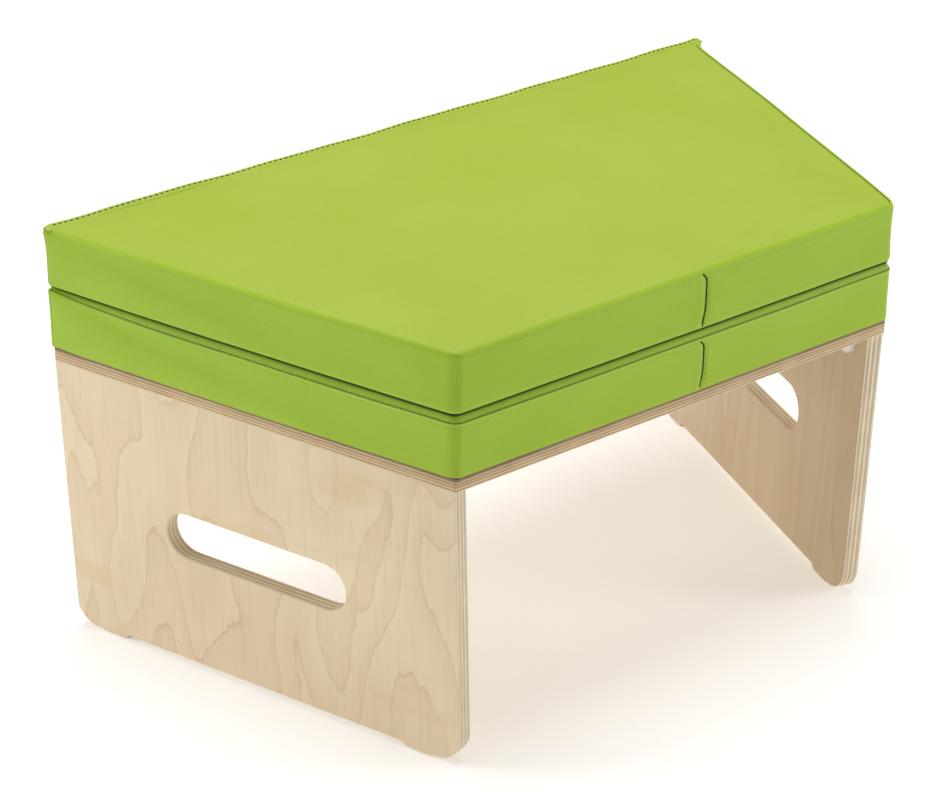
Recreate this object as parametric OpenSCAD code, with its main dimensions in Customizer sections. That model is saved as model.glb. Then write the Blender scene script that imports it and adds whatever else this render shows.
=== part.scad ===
// Trapezoid nursery bench: a plywood table with a two-panel folding mat stacked on its top.
// +Z is up, +Y is towards the long back side, and the origin is on the floor under the middle.

/* [Table top] */
// Length of the long back side of the table top
top_length = 850; // [760:1:1000]
// Length of the short front side of the table top
front_length = 555; // [450:1:640]
// Depth of the table top, from front side to back side
top_depth = 464; // [380:1:560]
// Thickness of the plywood of the table top
board_t = 14.2; // [12:0.1:21]
// Thickness of the hard laminate on the plywood
laminate_t = 0.8; // [0.6:0.1:1.5]
// Radius of the table top's four corners
top_corner_r = 3; // [2:0.5:12]

/* [Legs] */
// Height of a leg, from the underside of the board to its relieved bottom edge
leg_height = 304; // [240:1:420]
// Thickness of a leg panel
leg_t = 18; // [15:0.5:24]
// Lean of a leg panel, inwards towards the floor, in degrees
leg_lean = 2; // [0:0.25:5]
// Distance of a leg's outer face from the side of the board
leg_side_inset = 1; // [0:0.5:6]
// Distance of a leg's ends from the front and back of the board, along the side
leg_end_inset = 1; // [0.5:0.5:6]
// Radius of a leg's bottom corners
leg_corner_r = 30; // [15:1:38]
// Length of the hand slot
slot_length = 222; // [120:1:260]
// Width of the hand slot
slot_width = 52; // [35:1:70]
// Depth of the hand slot's middle below the board
slot_drop = 156; // [120:1:170]

/* [Feet] */
// Length of a foot pad at the bottom of a leg
pad_length = 40; // [30:1:60]
// Height of a foot pad below the relieved edge
pad_h = 4.5; // [3:0.5:6]
// Height of a foot pad below the leg's round corner
corner_relief = 1.5; // [1:0.25:2.5]
// Distance of a foot pad's middle from the end of the leg
pad_from_end = 52; // [50:1:90]
// Thickness of the glide under a foot pad
glide_t = 1.2; // [1:0.1:3]
// Length of a glide
glide_length = 30; // [20:1:34]
// Width of a glide
glide_width = 13; // [8:0.5:14]
// Radius of a glide's pins
glide_pin_r = 1.5; // [1:0.1:2]
// Length of a glide's pins above the glide
glide_pin_length = 7; // [5:0.5:12]
// Distance between the two pins of a glide
glide_pin_pitch = 16; // [8:1:18]

/* [Fixings] */
// Width of a corner bracket, along the leg
bracket_width = 26; // [22:1:34]
// Reach of a corner bracket along the board and down the leg
bracket_reach = 34; // [30:1:44]
// Wall thickness of a corner bracket
bracket_t = 5; // [4:0.5:6]
// Distance of a bracket's middle from the end of the leg
bracket_from_end = 36; // [25:1:80]
// Thickness of a bracket's two cheeks
cheek_t = 3; // [2:0.5:4]
// Radius of a bracket screw's shank
screw_r = 2; // [1.5:0.1:2.5]
// Radius of a bracket screw's countersunk head
screw_head_r = 4; // [3.2:0.1:5]
// Length of a bracket screw below the bracket
screw_bite = 9; // [6:0.5:11]
// Radius of a dowel
dowel_r = 4; // [3:0.5:4]
// Length of a dowel
dowel_length = 30; // [24:1:36]
// Length of a dowel that stands in the board
dowel_in_board = 9; // [6:0.5:10]
// Number of dowels in each leg
dowel_count = 3; // [2:1:4]

/* [Mat] */
// Thickness of one mat panel with its cover
mat_t = 64.7; // [50:0.1:90]
// Overhang of the mat beyond the board at the two sides
mat_side_over = 2.5; // [1:0.5:5]
// Overhang of the mat beyond the board at the front
mat_front_over = 2.5; // [1:0.5:5]
// Radius of the mat's corners
mat_corner_r = 6; // [4:1:25]
// Thickness of the coated fabric of the cover
cover_t = 1.2; // [0.8:0.1:2]
// Clearance under a mat panel at rest
rest_gap = 0.3; // [0.2:0.1:1]
// Place of the front joint of the side bands, right of the middle
band_joint_x = 25; // [-60:1:60]
// Length of the back band's return round each back corner
band_return = 7; // [7:1:60]

/* [Mat hinge] */
// Distance of the fold line behind the back of the mat
hinge_out = 2.4; // [2.3:0.1:2.6]
// Width of the hinge strip on each panel
hinge_strip_width = 14; // [10:1:18]
// Thickness of the hinge strip
hinge_strip_t = 1; // [0.8:0.1:1.2]
// Width of the raised lip along the top back edge
lip_width = 9; // [6:0.5:14]
// Height of the raised lip
lip_h = 2; // [1:0.5:4]

/* [Zips] */
// Length of a zip
zip_length = 640; // [400:5:680]
// Width of the zip tape
tape_width = 22; // [16:1:24]
// Width of the zip's chain
chain_width = 5; // [4:0.5:7]
// Height of the chain above the tape
chain_out = 0.8; // [0.5:0.1:1]
// Length of the zip's slider
slider_length = 12; // [8:1:16]
// Width of the zip's slider
slider_width = 9; // [8:0.5:12]
// Height of the slider above the tape
slider_out = 2.6; // [2:0.1:2.8]
// Length of the slider's pull
pull_length = 26; // [16:1:36]
// Width of the slider's pull
pull_width = 5; // [4:0.5:7]
// Distance of the slider from the end of the zip
slider_from_end = 18; // [10:1:60]

/* [Hidden] */
$fn = 64;
side_slant = atan2((top_length - front_length) / 2, top_depth);
side_length = top_depth / cos(side_slant);
leg_base_z = glide_t + pad_h;
board_z = leg_base_z + leg_height;
laminate_z = board_z + board_t;
top_z = laminate_z + laminate_t;
leg_length = side_length - 2 * leg_end_inset;
leg_drop = leg_height / cos(leg_lean);
leg_trim = leg_t * tan(leg_lean) + 1;
leg_top_width = leg_t / cos(leg_lean);
pad_slope = pad_h;
screw_head_h = screw_head_r - screw_r;
recess_share = 0.62;
recess_arm = 2 * screw_head_r * recess_share;
recess_web = 1;
recess_depth = 1.6;
bracket_hole = bracket_reach - bracket_width / 2;
cheek_leg = bracket_reach - bracket_width / 2;
cheek_inset = 0.4;
dowel_end_room = 90;
mat_back_y = top_depth / 2 + mat_front_over - slider_out;
mat_back_over = mat_back_y - top_depth / 2;
lower_z = top_z + rest_gap;
fold_z = lower_z + mat_t + rest_gap / 2;
upper_z = fold_z + rest_gap / 2;
hinge_play = 0.2;
pull_t = 1.2;
slider_floor = 0.3;

// ---- outlines ----

// Half of the outline's width at depth y, with the side moved out by over
function half_width(y, over) =
    front_length / 2 + (y + top_depth / 2) * tan(side_slant) + over / cos(side_slant);

// Corners of the outline moved out by [side, front, back], from front right round to front left
function outline(over) =
    let (front = -top_depth / 2 - over[1], back = top_depth / 2 + over[2])
    let (near = half_width(front, over[0]), far = half_width(back, over[0]))
    [[near, front], [far, back], [-far, back], [-near, front]];

// Directions, in degrees, that the front, right side, back and left side face
SIDE_FACES = [-90, -side_slant, 90, 180 + side_slant, 270];
corner_steps = 8;
end_steps = 24;

// A plate of the outline's shape with round corners of radius r
module plate(over, r, h) {
    centres = outline([for (o = over) o - r]);
    faces = SIDE_FACES;
    linear_extrude(h)
        polygon([for (i = [0:3]) each arc(centres[i], r, faces[i], faces[i + 1], corner_steps)]);
}

function arc(centre, r, from, to, steps) =
    [for (k = [0:steps]) let (a = from + (to - from) * k / steps) centre + r * [cos(a), sin(a)]];

// ---- places along the slanted sides ----

// Puts a leg's own frame under the board: +X along the side to the back, +Y inwards, z = 0 at the board
module on_side(side) {
    if (side == "left") mirror([1, 0, 0]) under_right_side() children();
    else under_right_side() children();
}

module under_right_side() {
    translate([front_length / 2, -top_depth / 2, board_z]) rotate([0, 0, 90 - side_slant]) children();
}

// Leans what stands against a leg together with the leg
module leaned() {
    translate([leg_end_inset, leg_side_inset, 0]) rotate([leg_lean, 0, 0]) children();
}

// Distances of paired fittings from the front end of a leg
function end_place(end, inset) = end == "front" ? inset : leg_length - inset;

// ---- legs ----

// A leg in its own plane, without slot or bores: x along the leg, +y inwards, z = 0 at the board
module leg_panel() {
    r = leg_corner_r;
    low = leg_drop + pad_h - corner_relief;
    union() {
        upright(leg_t) polygon([
            [0, leg_trim], [leg_length, leg_trim], [leg_length, r - low],
            [leg_length - r, -low], [leg_length - pad_from_end, -low],
            [leg_length - pad_from_end, -leg_drop], [pad_from_end, -leg_drop],
            [pad_from_end, -low], [r, -low], [0, r - low]
        ]);
        for (x = [r, leg_length - r])
            translate([x, leg_t, r - low]) rotate([90, 0, 0]) cylinder(r = r, h = leg_t);
        for (end = ["front", "rear"])
            translate([end_place(end, pad_from_end), 0, -leg_drop]) upright(leg_t) pad_shape();
    }
}

// Stands a flat shape up on its edge and gives it a thickness towards +Y
module upright(thickness) {
    translate([0, thickness, 0]) rotate([90, 0, 0]) linear_extrude(thickness) children();
}

module pad_shape() {
    foot = pad_length / 2;
    overlap = 1;
    polygon([
        [-foot, overlap], [foot, overlap], [foot, 0], [foot - pad_slope, -pad_h],
        [foot - pad_slope, -pad_h - leg_trim], [pad_slope - foot, -pad_h - leg_trim],
        [pad_slope - foot, -pad_h], [-foot, 0]
    ]);
}

// The whole leg without its slot and bores, cut level at the board and at the glides
module leg_blank() {
    intersection() {
        leaned() leg_panel();
        leg_room();
    }
}

// The space under the board that a leg may fill, flush with the board's back
module leg_room() {
    intersection() {
        translate([-top_depth, -top_depth, -leg_height - pad_h])
            cube([3 * top_depth, 2 * top_depth, leg_height + pad_h]);
        rotate([0, 0, side_slant - 90])
            translate([-2 * top_depth, -top_depth, -2 * leg_height])
            cube([3 * top_depth, 2 * top_depth - leg_end_inset, 3 * leg_height]);
    }
}

module slot_cut() {
    half = (slot_length - slot_width) / 2;
    translate([leg_length / 2, 0, -slot_drop]) {
        for (x = [-half, half])
            translate([x, 2 * leg_t, 0])
                rotate([90, 0, 0]) cylinder(r = slot_width / 2, h = 3 * leg_t);
        translate([-half, -leg_t, -slot_width / 2])
            cube([2 * half, 3 * leg_t, slot_width]);
    }
}

module leg(side) {
    color("burlywood") on_side(side) difference() {
        leg_blank();
        leaned() slot_cut();
        dowels();
        for (end = ["front", "rear"]) {
            at_bracket(end) leg_screw();
            at_glide(end) glide_pins();
        }
    }
}

// ---- dowels ----

module dowels() {
    pitch = (leg_length - 2 * dowel_end_room) / (dowel_count - 1);
    for (i = [0:dowel_count - 1])
        translate([
            leg_end_inset + dowel_end_room + i * pitch,
            leg_side_inset + leg_top_width / 2,
            dowel_in_board - dowel_length
        ]) cylinder(r = dowel_r, h = dowel_length);
}

module dowel_set(side) {
    color("tan") on_side(side) dowels();
}

// ---- table top ----

module table_board() {
    color("wheat") difference() {
        translate([0, 0, board_z]) plate([0, 0, 0], top_corner_r, board_t);
        for (side = ["left", "right"]) on_side(side) {
            dowels();
            for (end = ["front", "rear"]) at_bracket(end) board_screw();
        }
    }
}

module top_laminate() {
    color("whitesmoke") translate([0, 0, laminate_z]) plate([0, 0, 0], top_corner_r, laminate_t);
}

// ---- corner brackets and their screws ----

module at_bracket(end) {
    translate([leg_end_inset + end_place(end, bracket_from_end), 0, 0]) children();
}

// Turns a bracket's own frame to the leg's inner face: z = 0 on the face, +Z into the room, +Y up
module on_inner_face() {
    translate([0, leg_side_inset, 0]) rotate([leg_lean, 0, 0])
        translate([0, leg_t, 0]) rotate([-90, 0, 0]) mirror([0, 1, 0]) children();
}

// What is cut off a flange that runs to +Y to make its far end round
module end_cut(h) {
    r = bracket_width / 2;
    wide = r + 1;
    linear_extrude(h) polygon([
        each arc([0, bracket_hole], r, 180, 0, end_steps),
        [wide, bracket_hole], [wide, bracket_reach + 1], [-wide, bracket_reach + 1], [-wide, bracket_hole]
    ]);
}

// A prism along the leg with its section in the Y-Z plane, centred on the bracket
module section(width) {
    translate([-width / 2, 0, 0]) rotate([90, 0, 90]) linear_extrude(width) children();
}

// One moulding: two flanges in the corner of leg and board, joined by a cheek near each side
module bracket_form() {
    run = tan(leg_lean);
    wall = bracket_t / cos(leg_lean);
    far = bracket_reach;
    translate([0, leg_side_inset + leg_top_width, 0]) union() {
        difference() {
            section(bracket_width) polygon([
                [0, 0], [far, 0], [far, -bracket_t], [wall + run * bracket_t, -bracket_t],
                [wall + run * far, -far], [run * far, -far]
            ]);
            translate([0, 0, -2 * bracket_t]) end_cut(3 * bracket_t);
            translate([0, -bracket_t, 0]) rotate([-90, 0, 0]) end_cut(4 * bracket_t);
        }
        for (x = [-1, 1])
            translate([x * (bracket_width - cheek_t - 2 * cheek_inset) / 2, 0, 0])
                section(cheek_t) polygon([
                    [wall / 2, -bracket_t / 2], [cheek_leg, -bracket_t / 2], [wall / 2, -cheek_leg]
                ]);
    }
}

// A countersunk screw that points down -Z from a flange of bracket_t, head level with the flange's top
module screw_form() {
    length = bracket_t + screw_bite;
    tip_h = screw_r;
    union() {
        translate([0, 0, bracket_t - screw_head_h])
            cylinder(r1 = screw_r, r2 = screw_head_r, h = screw_head_h);
        translate([0, 0, bracket_t - length + tip_h])
            cylinder(r = screw_r, h = length - tip_h - screw_head_h);
        translate([0, 0, bracket_t - length]) cylinder(r1 = screw_r / 4, r2 = screw_r, h = tip_h);
    }
}

module screw_recess() {
    translate([0, 0, bracket_t - recess_depth / 2]) {
        cube([recess_arm, recess_web, recess_depth], center = true);
        cube([recess_web, recess_arm, recess_depth], center = true);
    }
}

// The hole through a bracket's flange that a screw's head sinks into
module screw_hole() {
    clear = 1;
    translate([0, 0, -clear]) cylinder(r = screw_r, h = bracket_t + 2 * clear);
    translate([0, 0, bracket_t - screw_head_h])
        cylinder(r1 = screw_r, r2 = screw_head_r + clear * (screw_head_r - screw_r) / screw_head_h,
            h = screw_head_h + clear);
}

module at_leg_screw() {
    on_inner_face() translate([0, -bracket_hole, 0]) children();
}

module at_board_screw() {
    translate([0, leg_side_inset + leg_top_width + bracket_hole, 0]) mirror([0, 0, 1]) children();
}

module leg_screw() {
    at_leg_screw() screw_form();
}

module board_screw() {
    at_board_screw() screw_form();
}

module bracket(side, end) {
    color("white") on_side(side) at_bracket(end) difference() {
        bracket_form();
        at_leg_screw() screw_hole();
        at_board_screw() screw_hole();
    }
}

module screws(side, end) {
    color("silver") on_side(side) at_bracket(end) {
        at_leg_screw() difference() {
            screw_form();
            screw_recess();
        }
        at_board_screw() difference() {
            screw_form();
            screw_recess();
        }
    }
}

// ---- glides ----

// A glide's own frame: z = 0 on the floor, under the middle of the leg's foot
module at_glide(end) {
    foot_y = leg_side_inset + leg_top_width / 2 + (leg_height + pad_h) * tan(leg_lean);
    translate([leg_end_inset + end_place(end, pad_from_end), foot_y, -board_z]) children();
}

module glide_pins() {
    for (x = [-glide_pin_pitch / 2, glide_pin_pitch / 2])
        translate([x, 0, glide_t]) cylinder(r = glide_pin_r, h = glide_pin_length);
}

module glide(side, end) {
    half = (glide_length - glide_width) / 2;
    color("slategray") on_side(side) at_glide(end) union() {
        for (x = [-half, half]) translate([x, 0, 0]) cylinder(r = glide_width / 2, h = glide_t);
        translate([-half, -glide_width / 2, 0]) cube([2 * half, glide_width, glide_t]);
        glide_pins();
    }
}

// ---- mat ----

MAT_OVER = [mat_side_over, mat_front_over, mat_back_over];

// The mat's outline drawn in by inset
function mat_over(inset) = [for (o = MAT_OVER) o - inset];

module mat_plate(inset, h) {
    plate(mat_over(inset), mat_corner_r - inset, h);
}

module foam(z) {
    color("khaki") translate([0, 0, z + cover_t]) mat_plate(cover_t, mat_t - 2 * cover_t);
}

module base_panel(z) {
    color("yellowgreen") translate([0, 0, z]) mat_plate(0, cover_t);
}

module top_panel(z) {
    color("yellowgreen") translate([0, 0, z + mat_t - cover_t]) mat_plate(0, cover_t);
}

// The wall of fabric round the foam, between the two panels
module band_wall(z) {
    band_h = mat_t - 2 * cover_t;
    translate([0, 0, z + cover_t]) difference() {
        mat_plate(0, band_h);
        translate([0, 0, -1]) mat_plate(cover_t, band_h + 2);
    }
}

// Everything in front of the back band, on one side of the band's front joint
module band_side(z, side) {
    reach = top_length;
    x = side == "left" ? band_joint_x - reach : band_joint_x;
    color("yellowgreen") intersection() {
        band_wall(z);
        translate([x, mat_back_y - band_return - 2 * top_depth, z]) cube([reach, 2 * top_depth, mat_t]);
    }
}

module band_back(z) {
    color("yellowgreen") difference() {
        intersection() {
            band_wall(z);
            translate([-top_length, mat_back_y - band_return, z]) cube([2 * top_length, top_depth, mat_t]);
        }
        zip_tape(z);
    }
}

// ---- zips ----

module zip_tape(z) {
    translate([-zip_length / 2, mat_back_y - cover_t, z + (mat_t - tape_width) / 2])
        cube([zip_length, cover_t, tape_width]);
}

module zip_chain(z) {
    translate([-zip_length / 2, mat_back_y - cover_t / 2, z + (mat_t - chain_width) / 2])
        cube([zip_length, cover_t / 2 + chain_out, chain_width]);
}

module zip(z) {
    color("olivedrab") union() {
        zip_tape(z);
        zip_chain(z);
    }
}

// The slider straddles the chain, with its pull lying flat towards the middle of the zip
module slider(z, end) {
    x = end == "left" ? slider_from_end - zip_length / 2 : zip_length / 2 - slider_from_end;
    pull_dir = end == "left" ? 0 : 180;
    color("gray") translate([x, mat_back_y, z + mat_t / 2]) rotate([0, pull_dir, 0]) union() {
        difference() {
            translate([-slider_length / 2, 0, -slider_width / 2])
                cube([slider_length, slider_out - pull_t, slider_width]);
            translate([-slider_length, -1, -chain_width / 2 - slider_floor])
                cube([2 * slider_length, 1 + chain_out, chain_width + 2 * slider_floor]);
        }
        translate([0, slider_out - pull_t, -pull_width / 2]) difference() {
            cube([pull_length, pull_t, pull_width]);
            translate([pull_length - pull_width / 2, pull_t + 1, pull_width / 2])
                rotate([90, 0, 0]) cylinder(r = pull_width / 4, h = pull_t + 2);
        }
    }
}

// ---- mat hinge and edge lip ----

// One half of the strip: sewn flat to the back band, and standing out to the fold line at its free edge
module hinge_half() {
    width = 2 * half_width(mat_back_y, mat_side_over - mat_corner_r);
    out = hinge_out - hinge_play;
    translate([-width / 2, mat_back_y, 0]) rotate([90, 0, 90]) linear_extrude(width) polygon([
        [0, -hinge_strip_width], [hinge_strip_t, -hinge_strip_width],
        [hinge_strip_t, -2 * out], [out, -rest_gap / 2 - hinge_strip_t],
        [out, -rest_gap / 2], [0, -rest_gap / 2]
    ]);
}

module lower_hinge_strip() {
    color("yellowgreen") translate([0, 0, fold_z]) hinge_half();
}

module upper_hinge_strip() {
    color("yellowgreen") translate([0, 0, fold_z]) mirror([0, 0, 1]) hinge_half();
}

module edge_lip() {
    lip_over = [mat_side_over - mat_corner_r, 0, 0];
    width = 2 * half_width(mat_back_y - lip_width, lip_over[0]);
    color("yellowgreen") translate([-width / 2, mat_back_y - lip_width, upper_z + mat_t])
        cube([width, lip_width, lip_h]);
}

table_board();
top_laminate();
leg("left");  // left_leg
leg("right");  // right_leg
dowel_set("left");  // dowels_left
dowel_set("right");  // dowels_right
bracket("left", "front");  // bracket_left_front
bracket("left", "rear");  // bracket_left_rear
bracket("right", "front");  // bracket_right_front
bracket("right", "rear");  // bracket_right_rear
screws("left", "front");  // screws_left_front
screws("left", "rear");  // screws_left_rear
screws("right", "front");  // screws_right_front
screws("right", "rear");  // screws_right_rear
glide("left", "front");  // glide_left_front
glide("left", "rear");  // glide_left_rear
glide("right", "front");  // glide_right_front
glide("right", "rear");  // glide_right_rear
foam(lower_z);  // lower_foam
base_panel(lower_z);  // lower_base_panel
top_panel(lower_z);  // lower_top_panel
band_side(lower_z, "left");  // lower_band_left
band_side(lower_z, "right");  // lower_band_right
band_back(lower_z);  // lower_band_back
zip(lower_z);  // lower_zip
slider(lower_z, "left");  // lower_zip_slider
lower_hinge_strip();
foam(upper_z);  // upper_foam
base_panel(upper_z);  // upper_base_panel
top_panel(upper_z);  // upper_top_panel
band_side(upper_z, "left");  // upper_band_left
band_side(upper_z, "right");  // upper_band_right
band_back(upper_z);  // upper_band_back
zip(upper_z);  // upper_zip
slider(upper_z, "right");  // upper_zip_slider
upper_hinge_strip();
edge_lip();  // upper_edge_lip
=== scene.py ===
"""Looks of a trapezoid nursery bench with a folding mat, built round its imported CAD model.

The frame is in metres: +Z is up, +Y is towards the long back side, and the origin is on the floor under
the middle of the bench.
"""

from __future__ import annotations

import logging
import math
from dataclasses import dataclass, field
from enum import Enum
from typing import Any, Callable, Iterable, Sequence

import bpy
import numpy as np
from mathutils import Matrix, Vector
from mathutils.geometry import tessellate_polygon


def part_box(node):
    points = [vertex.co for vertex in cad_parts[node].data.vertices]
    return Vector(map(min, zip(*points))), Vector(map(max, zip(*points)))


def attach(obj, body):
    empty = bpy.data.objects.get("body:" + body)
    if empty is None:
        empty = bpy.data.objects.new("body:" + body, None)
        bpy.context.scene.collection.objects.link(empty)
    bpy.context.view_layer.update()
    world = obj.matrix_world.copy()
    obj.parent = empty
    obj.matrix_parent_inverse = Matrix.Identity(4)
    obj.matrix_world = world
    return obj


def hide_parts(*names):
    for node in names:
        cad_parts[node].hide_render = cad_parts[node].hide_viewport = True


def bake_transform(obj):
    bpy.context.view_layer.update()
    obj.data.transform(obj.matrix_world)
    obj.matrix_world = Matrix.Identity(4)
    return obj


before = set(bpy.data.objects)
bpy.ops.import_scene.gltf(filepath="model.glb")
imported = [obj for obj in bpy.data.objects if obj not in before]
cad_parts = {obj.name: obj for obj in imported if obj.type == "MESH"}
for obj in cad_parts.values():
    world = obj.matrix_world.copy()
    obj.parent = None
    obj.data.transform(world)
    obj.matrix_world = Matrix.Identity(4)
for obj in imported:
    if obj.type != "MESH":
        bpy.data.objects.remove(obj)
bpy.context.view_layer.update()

log = logging.getLogger("bench")
DEPTH = 0.464  # the top, front to back
FRONT_HALF = 0.2775  # half of the top's front side
SLANT = math.atan2(0.1475, DEPTH)  # how far the top's ends turn outwards
Point = tuple[float, float, float]
Flat = tuple[float, float]
Rgb = tuple[float, float, float]


# ---- shader maths -------------------------------------------------------------------------------


class Sig:
    """A socket of a node tree that Python's operators add Math nodes to."""

    def __init__(self, book: "ShaderBook", socket: Any) -> None:
        """Wraps a socket of the book's tree."""
        self.book, self.socket = book, socket

    def math(self, operation: str, *others: Any) -> "Sig":
        """Adds a Math node on this value.

        Args:
            operation: The node's operation.
            others: The values or signals of its other sockets.

        Returns:
            The node's value.
        """
        return self.book.node("ShaderNodeMath", {"operation": operation}, [self, *others])

    def __add__(self, other: Any) -> "Sig":
        """The sum with another value."""
        return self.math("ADD", other)

    __radd__ = __add__

    def __sub__(self, other: Any) -> "Sig":
        """This value less another one."""
        return self.math("SUBTRACT", other)

    def __rsub__(self, other: Any) -> "Sig":
        """Another value less this one."""
        return self.book.node("ShaderNodeMath", {"operation": "SUBTRACT"}, [other, self])

    def __mul__(self, other: Any) -> "Sig":
        """The product with another value."""
        return self.math("MULTIPLY", other)

    __rmul__ = __mul__

    def ramp(self, low: float, high: float) -> "Sig":
        """A smooth step from 0 at low to 1 at high, in either order."""
        settings = {"interpolation_type": "SMOOTHSTEP"}
        return self.book.node("ShaderNodeMapRange", settings, {0: self, 1: low, 2: high, 3: 0.0, 4: 1.0})

    def band(self, middle: float, half: float, soft: float) -> "Sig":
        """1 within half of middle, falling to 0 over soft on both sides."""
        return (self - middle).math("ABSOLUTE").ramp(half + soft, half)


class ShaderBook:
    """One material's node tree, with its principled shader."""

    def __init__(self, name: str, **settings: Any) -> None:
        """Starts a material.

        Args:
            name: The material's name.
            settings: Constants for the principled shader's sockets, with _ for a space.
        """
        self.material = bpy.data.materials.new(name)
        self.material.use_nodes = True
        self.tree = self.material.node_tree
        self.shader = next(n for n in self.tree.nodes if n.type == "BSDF_PRINCIPLED")
        for key, value in settings.items():
            self.shader.inputs[key.replace("_", " ")].default_value = value

    def node(self, kind: str, settings: dict[str, Any] | None = None, inputs: Any = (), out: Any = 0) -> Sig:
        """Adds a node.

        Args:
            kind: The node's type.
            settings: Its own settings, where "stops" is a colour ramp's list of (place, colour).
            inputs: Its sockets' values or signals, as a list or by socket name or number.
            out: The output's name or number.

        Returns:
            The output as a signal.
        """
        made = self.tree.nodes.new(kind)
        for key, value in (settings or {}).items():
            if key == "stops":
                stops = made.color_ramp.elements
                while len(stops) < len(value):
                    stops.new(1.0)
                for stop, (place, colour) in zip(stops, value):
                    stop.position, stop.color = place, (*colour, 1.0)
            else:
                setattr(made, key, value)
        pairs = inputs.items() if isinstance(inputs, dict) else enumerate(inputs)
        for key, value in pairs:
            self.feed(made.inputs[key], value)
        return Sig(self, made.outputs[out])

    def feed(self, socket: Any, value: Any) -> None:
        """Links a signal to a socket, or sets its value.

        Args:
            socket: The socket.
            value: A signal, a number, or a colour or vector of three numbers.
        """
        if isinstance(value, Sig):
            self.tree.links.new(value.socket, socket)
        elif isinstance(value, tuple) and len(value) == 3 and socket.type == "RGBA":
            socket.default_value = (*value, 1.0)
        else:
            socket.default_value = value

    def place(self) -> Sig:
        """The point in the piece's own axes, in metres."""
        return self.node("ShaderNodeTexCoord", out="Object")

    def split(self, vector: Sig) -> tuple[Sig, Sig, Sig]:
        """The three parts of a vector."""
        first = self.node("ShaderNodeSeparateXYZ", inputs=[vector])
        outputs = first.socket.node.outputs
        return first, Sig(self, outputs[1]), Sig(self, outputs[2])

    def join(self, x: Any, y: Any, z: Any) -> Sig:
        """A vector of three values."""
        return self.node("ShaderNodeCombineXYZ", inputs=[x, y, z])

    def scaled(self, vector: Sig, by: Point) -> Sig:
        """A vector times another one, part by part."""
        return self.node("ShaderNodeVectorMath", {"operation": "MULTIPLY"}, [vector, by])

    def noise(self, at: Sig, scale: float, detail: float = 3.0, rough: float = 0.5) -> Sig:
        """Noise between 0 and 1."""
        return self.node(
            "ShaderNodeTexNoise", inputs={"Vector": at, "Scale": scale, "Detail": detail, "Roughness": rough}
        )

    def cells(self, at: Sig, scale: float) -> Sig:
        """The distance field of scattered cells."""
        return self.node("ShaderNodeTexVoronoi", {"feature": "F1"}, {"Vector": at, "Scale": scale})

    def mix(self, share: Any, low: Any, high: Any) -> Sig:
        """A colour between two.

        Args:
            share: How much of the second one, 0 to 1.
            low: The first colour.
            high: The second colour.

        Returns:
            The mixed colour.
        """
        made = self.tree.nodes.new("ShaderNodeMix")
        made.data_type, made.blend_type = "RGBA", "MIX"
        for socket, value in ((made.inputs[0], share), (made.inputs[6], low), (made.inputs[7], high)):
            self.feed(socket, value)
        return Sig(self, made.outputs[2])

    def bump(self, height: Sig, depth: float, strength: float = 1.0, under: Sig | None = None) -> Sig:
        """A normal from a height between 0 and 1 that stands for depth metres."""
        inputs = {"Height": height, "Distance": depth, "Strength": strength}
        if under is not None:
            inputs["Normal"] = under
        return self.node("ShaderNodeBump", inputs=inputs)

    def finish(self, **sockets: Sig) -> bpy.types.Material:
        """Feeds the shader's sockets and gives the material."""
        for key, value in sockets.items():
            self.feed(self.shader.inputs[key.replace("_", " ")], value)
        return self.material


def srgb(red: int, green: int, blue: int) -> Rgb:
    """Linear colour from 8-bit display values."""
    parts = [v / 255 for v in (red, green, blue)]
    return tuple(p / 12.92 if p <= 0.04045 else ((p + 0.055) / 1.055) ** 2.4 for p in parts)


# ---- finishes -----------------------------------------------------------------------------------

VENEER = (0.0007, 0.0011)  # depths at which the face veneer starts and ends to give way to the plies


class Through(Enum):
    """The axis of a panel that runs through its thickness."""

    Y = 1
    Z = 2


class Side(Enum):
    """The two ends of the bench, as seen from the front."""

    LEFT = "left"
    RIGHT = "right"


class Level(Enum):
    """The two panels of the folding mat."""

    LOWER = "lower"
    UPPER = "upper"


@dataclass(frozen=True)
class CoatedFabric:
    """Satin coated fabric with a fine leather grain."""

    name: str
    # the defaults are painted light: the lit top's colours, paler and yellower than the band fabric's, for the light
    # and sheen on the top
    colour: Rgb = srgb(170, 192, 60)
    deep: Rgb = srgb(134, 164, 42)
    pale: Rgb = srgb(182, 202, 82)
    grain: float = 1500.0
    grain_depth: float = 0.00008
    rough: float = 0.44

    def material(self) -> bpy.types.Material:
        """Makes the finish.

        Returns:
            The material.
        """
        book = ShaderBook(self.name, Coat_Weight=0.04, Coat_Roughness=0.4, Specular_IOR_Level=0.35)
        at = book.place()
        cloud = book.noise(at, 5.0, 4.0, 0.55)
        fleck = book.noise(at, 260.0, 2.0, 0.6)
        pebble = book.cells(at, self.grain)
        fine = book.noise(at, self.grain * 1.7, 2.0, 0.6)
        crease = book.noise(book.scaled(at, (1.0, 1.0, 2.6)), 22.0, 3.0, 0.45)
        colour = book.mix(cloud.ramp(0.34, 0.68) * 0.35, self.colour, self.pale)
        colour = book.mix(fleck.ramp(0.44, 0.72) * 0.1, colour, self.deep)
        colour = book.mix(pebble.ramp(0.32, 0.62) * 0.16, colour, self.deep)
        rough = self.rough + (cloud - 0.5) * 0.12 + pebble.ramp(0.2, 0.6) * 0.08
        broad = book.bump(crease, 0.0022, 0.35)
        normal = book.bump(pebble * 0.7 + fine * 0.3, self.grain_depth, 0.45, under=broad)
        return book.finish(Base_Color=colour, Roughness=rough, Normal=normal)


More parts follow.
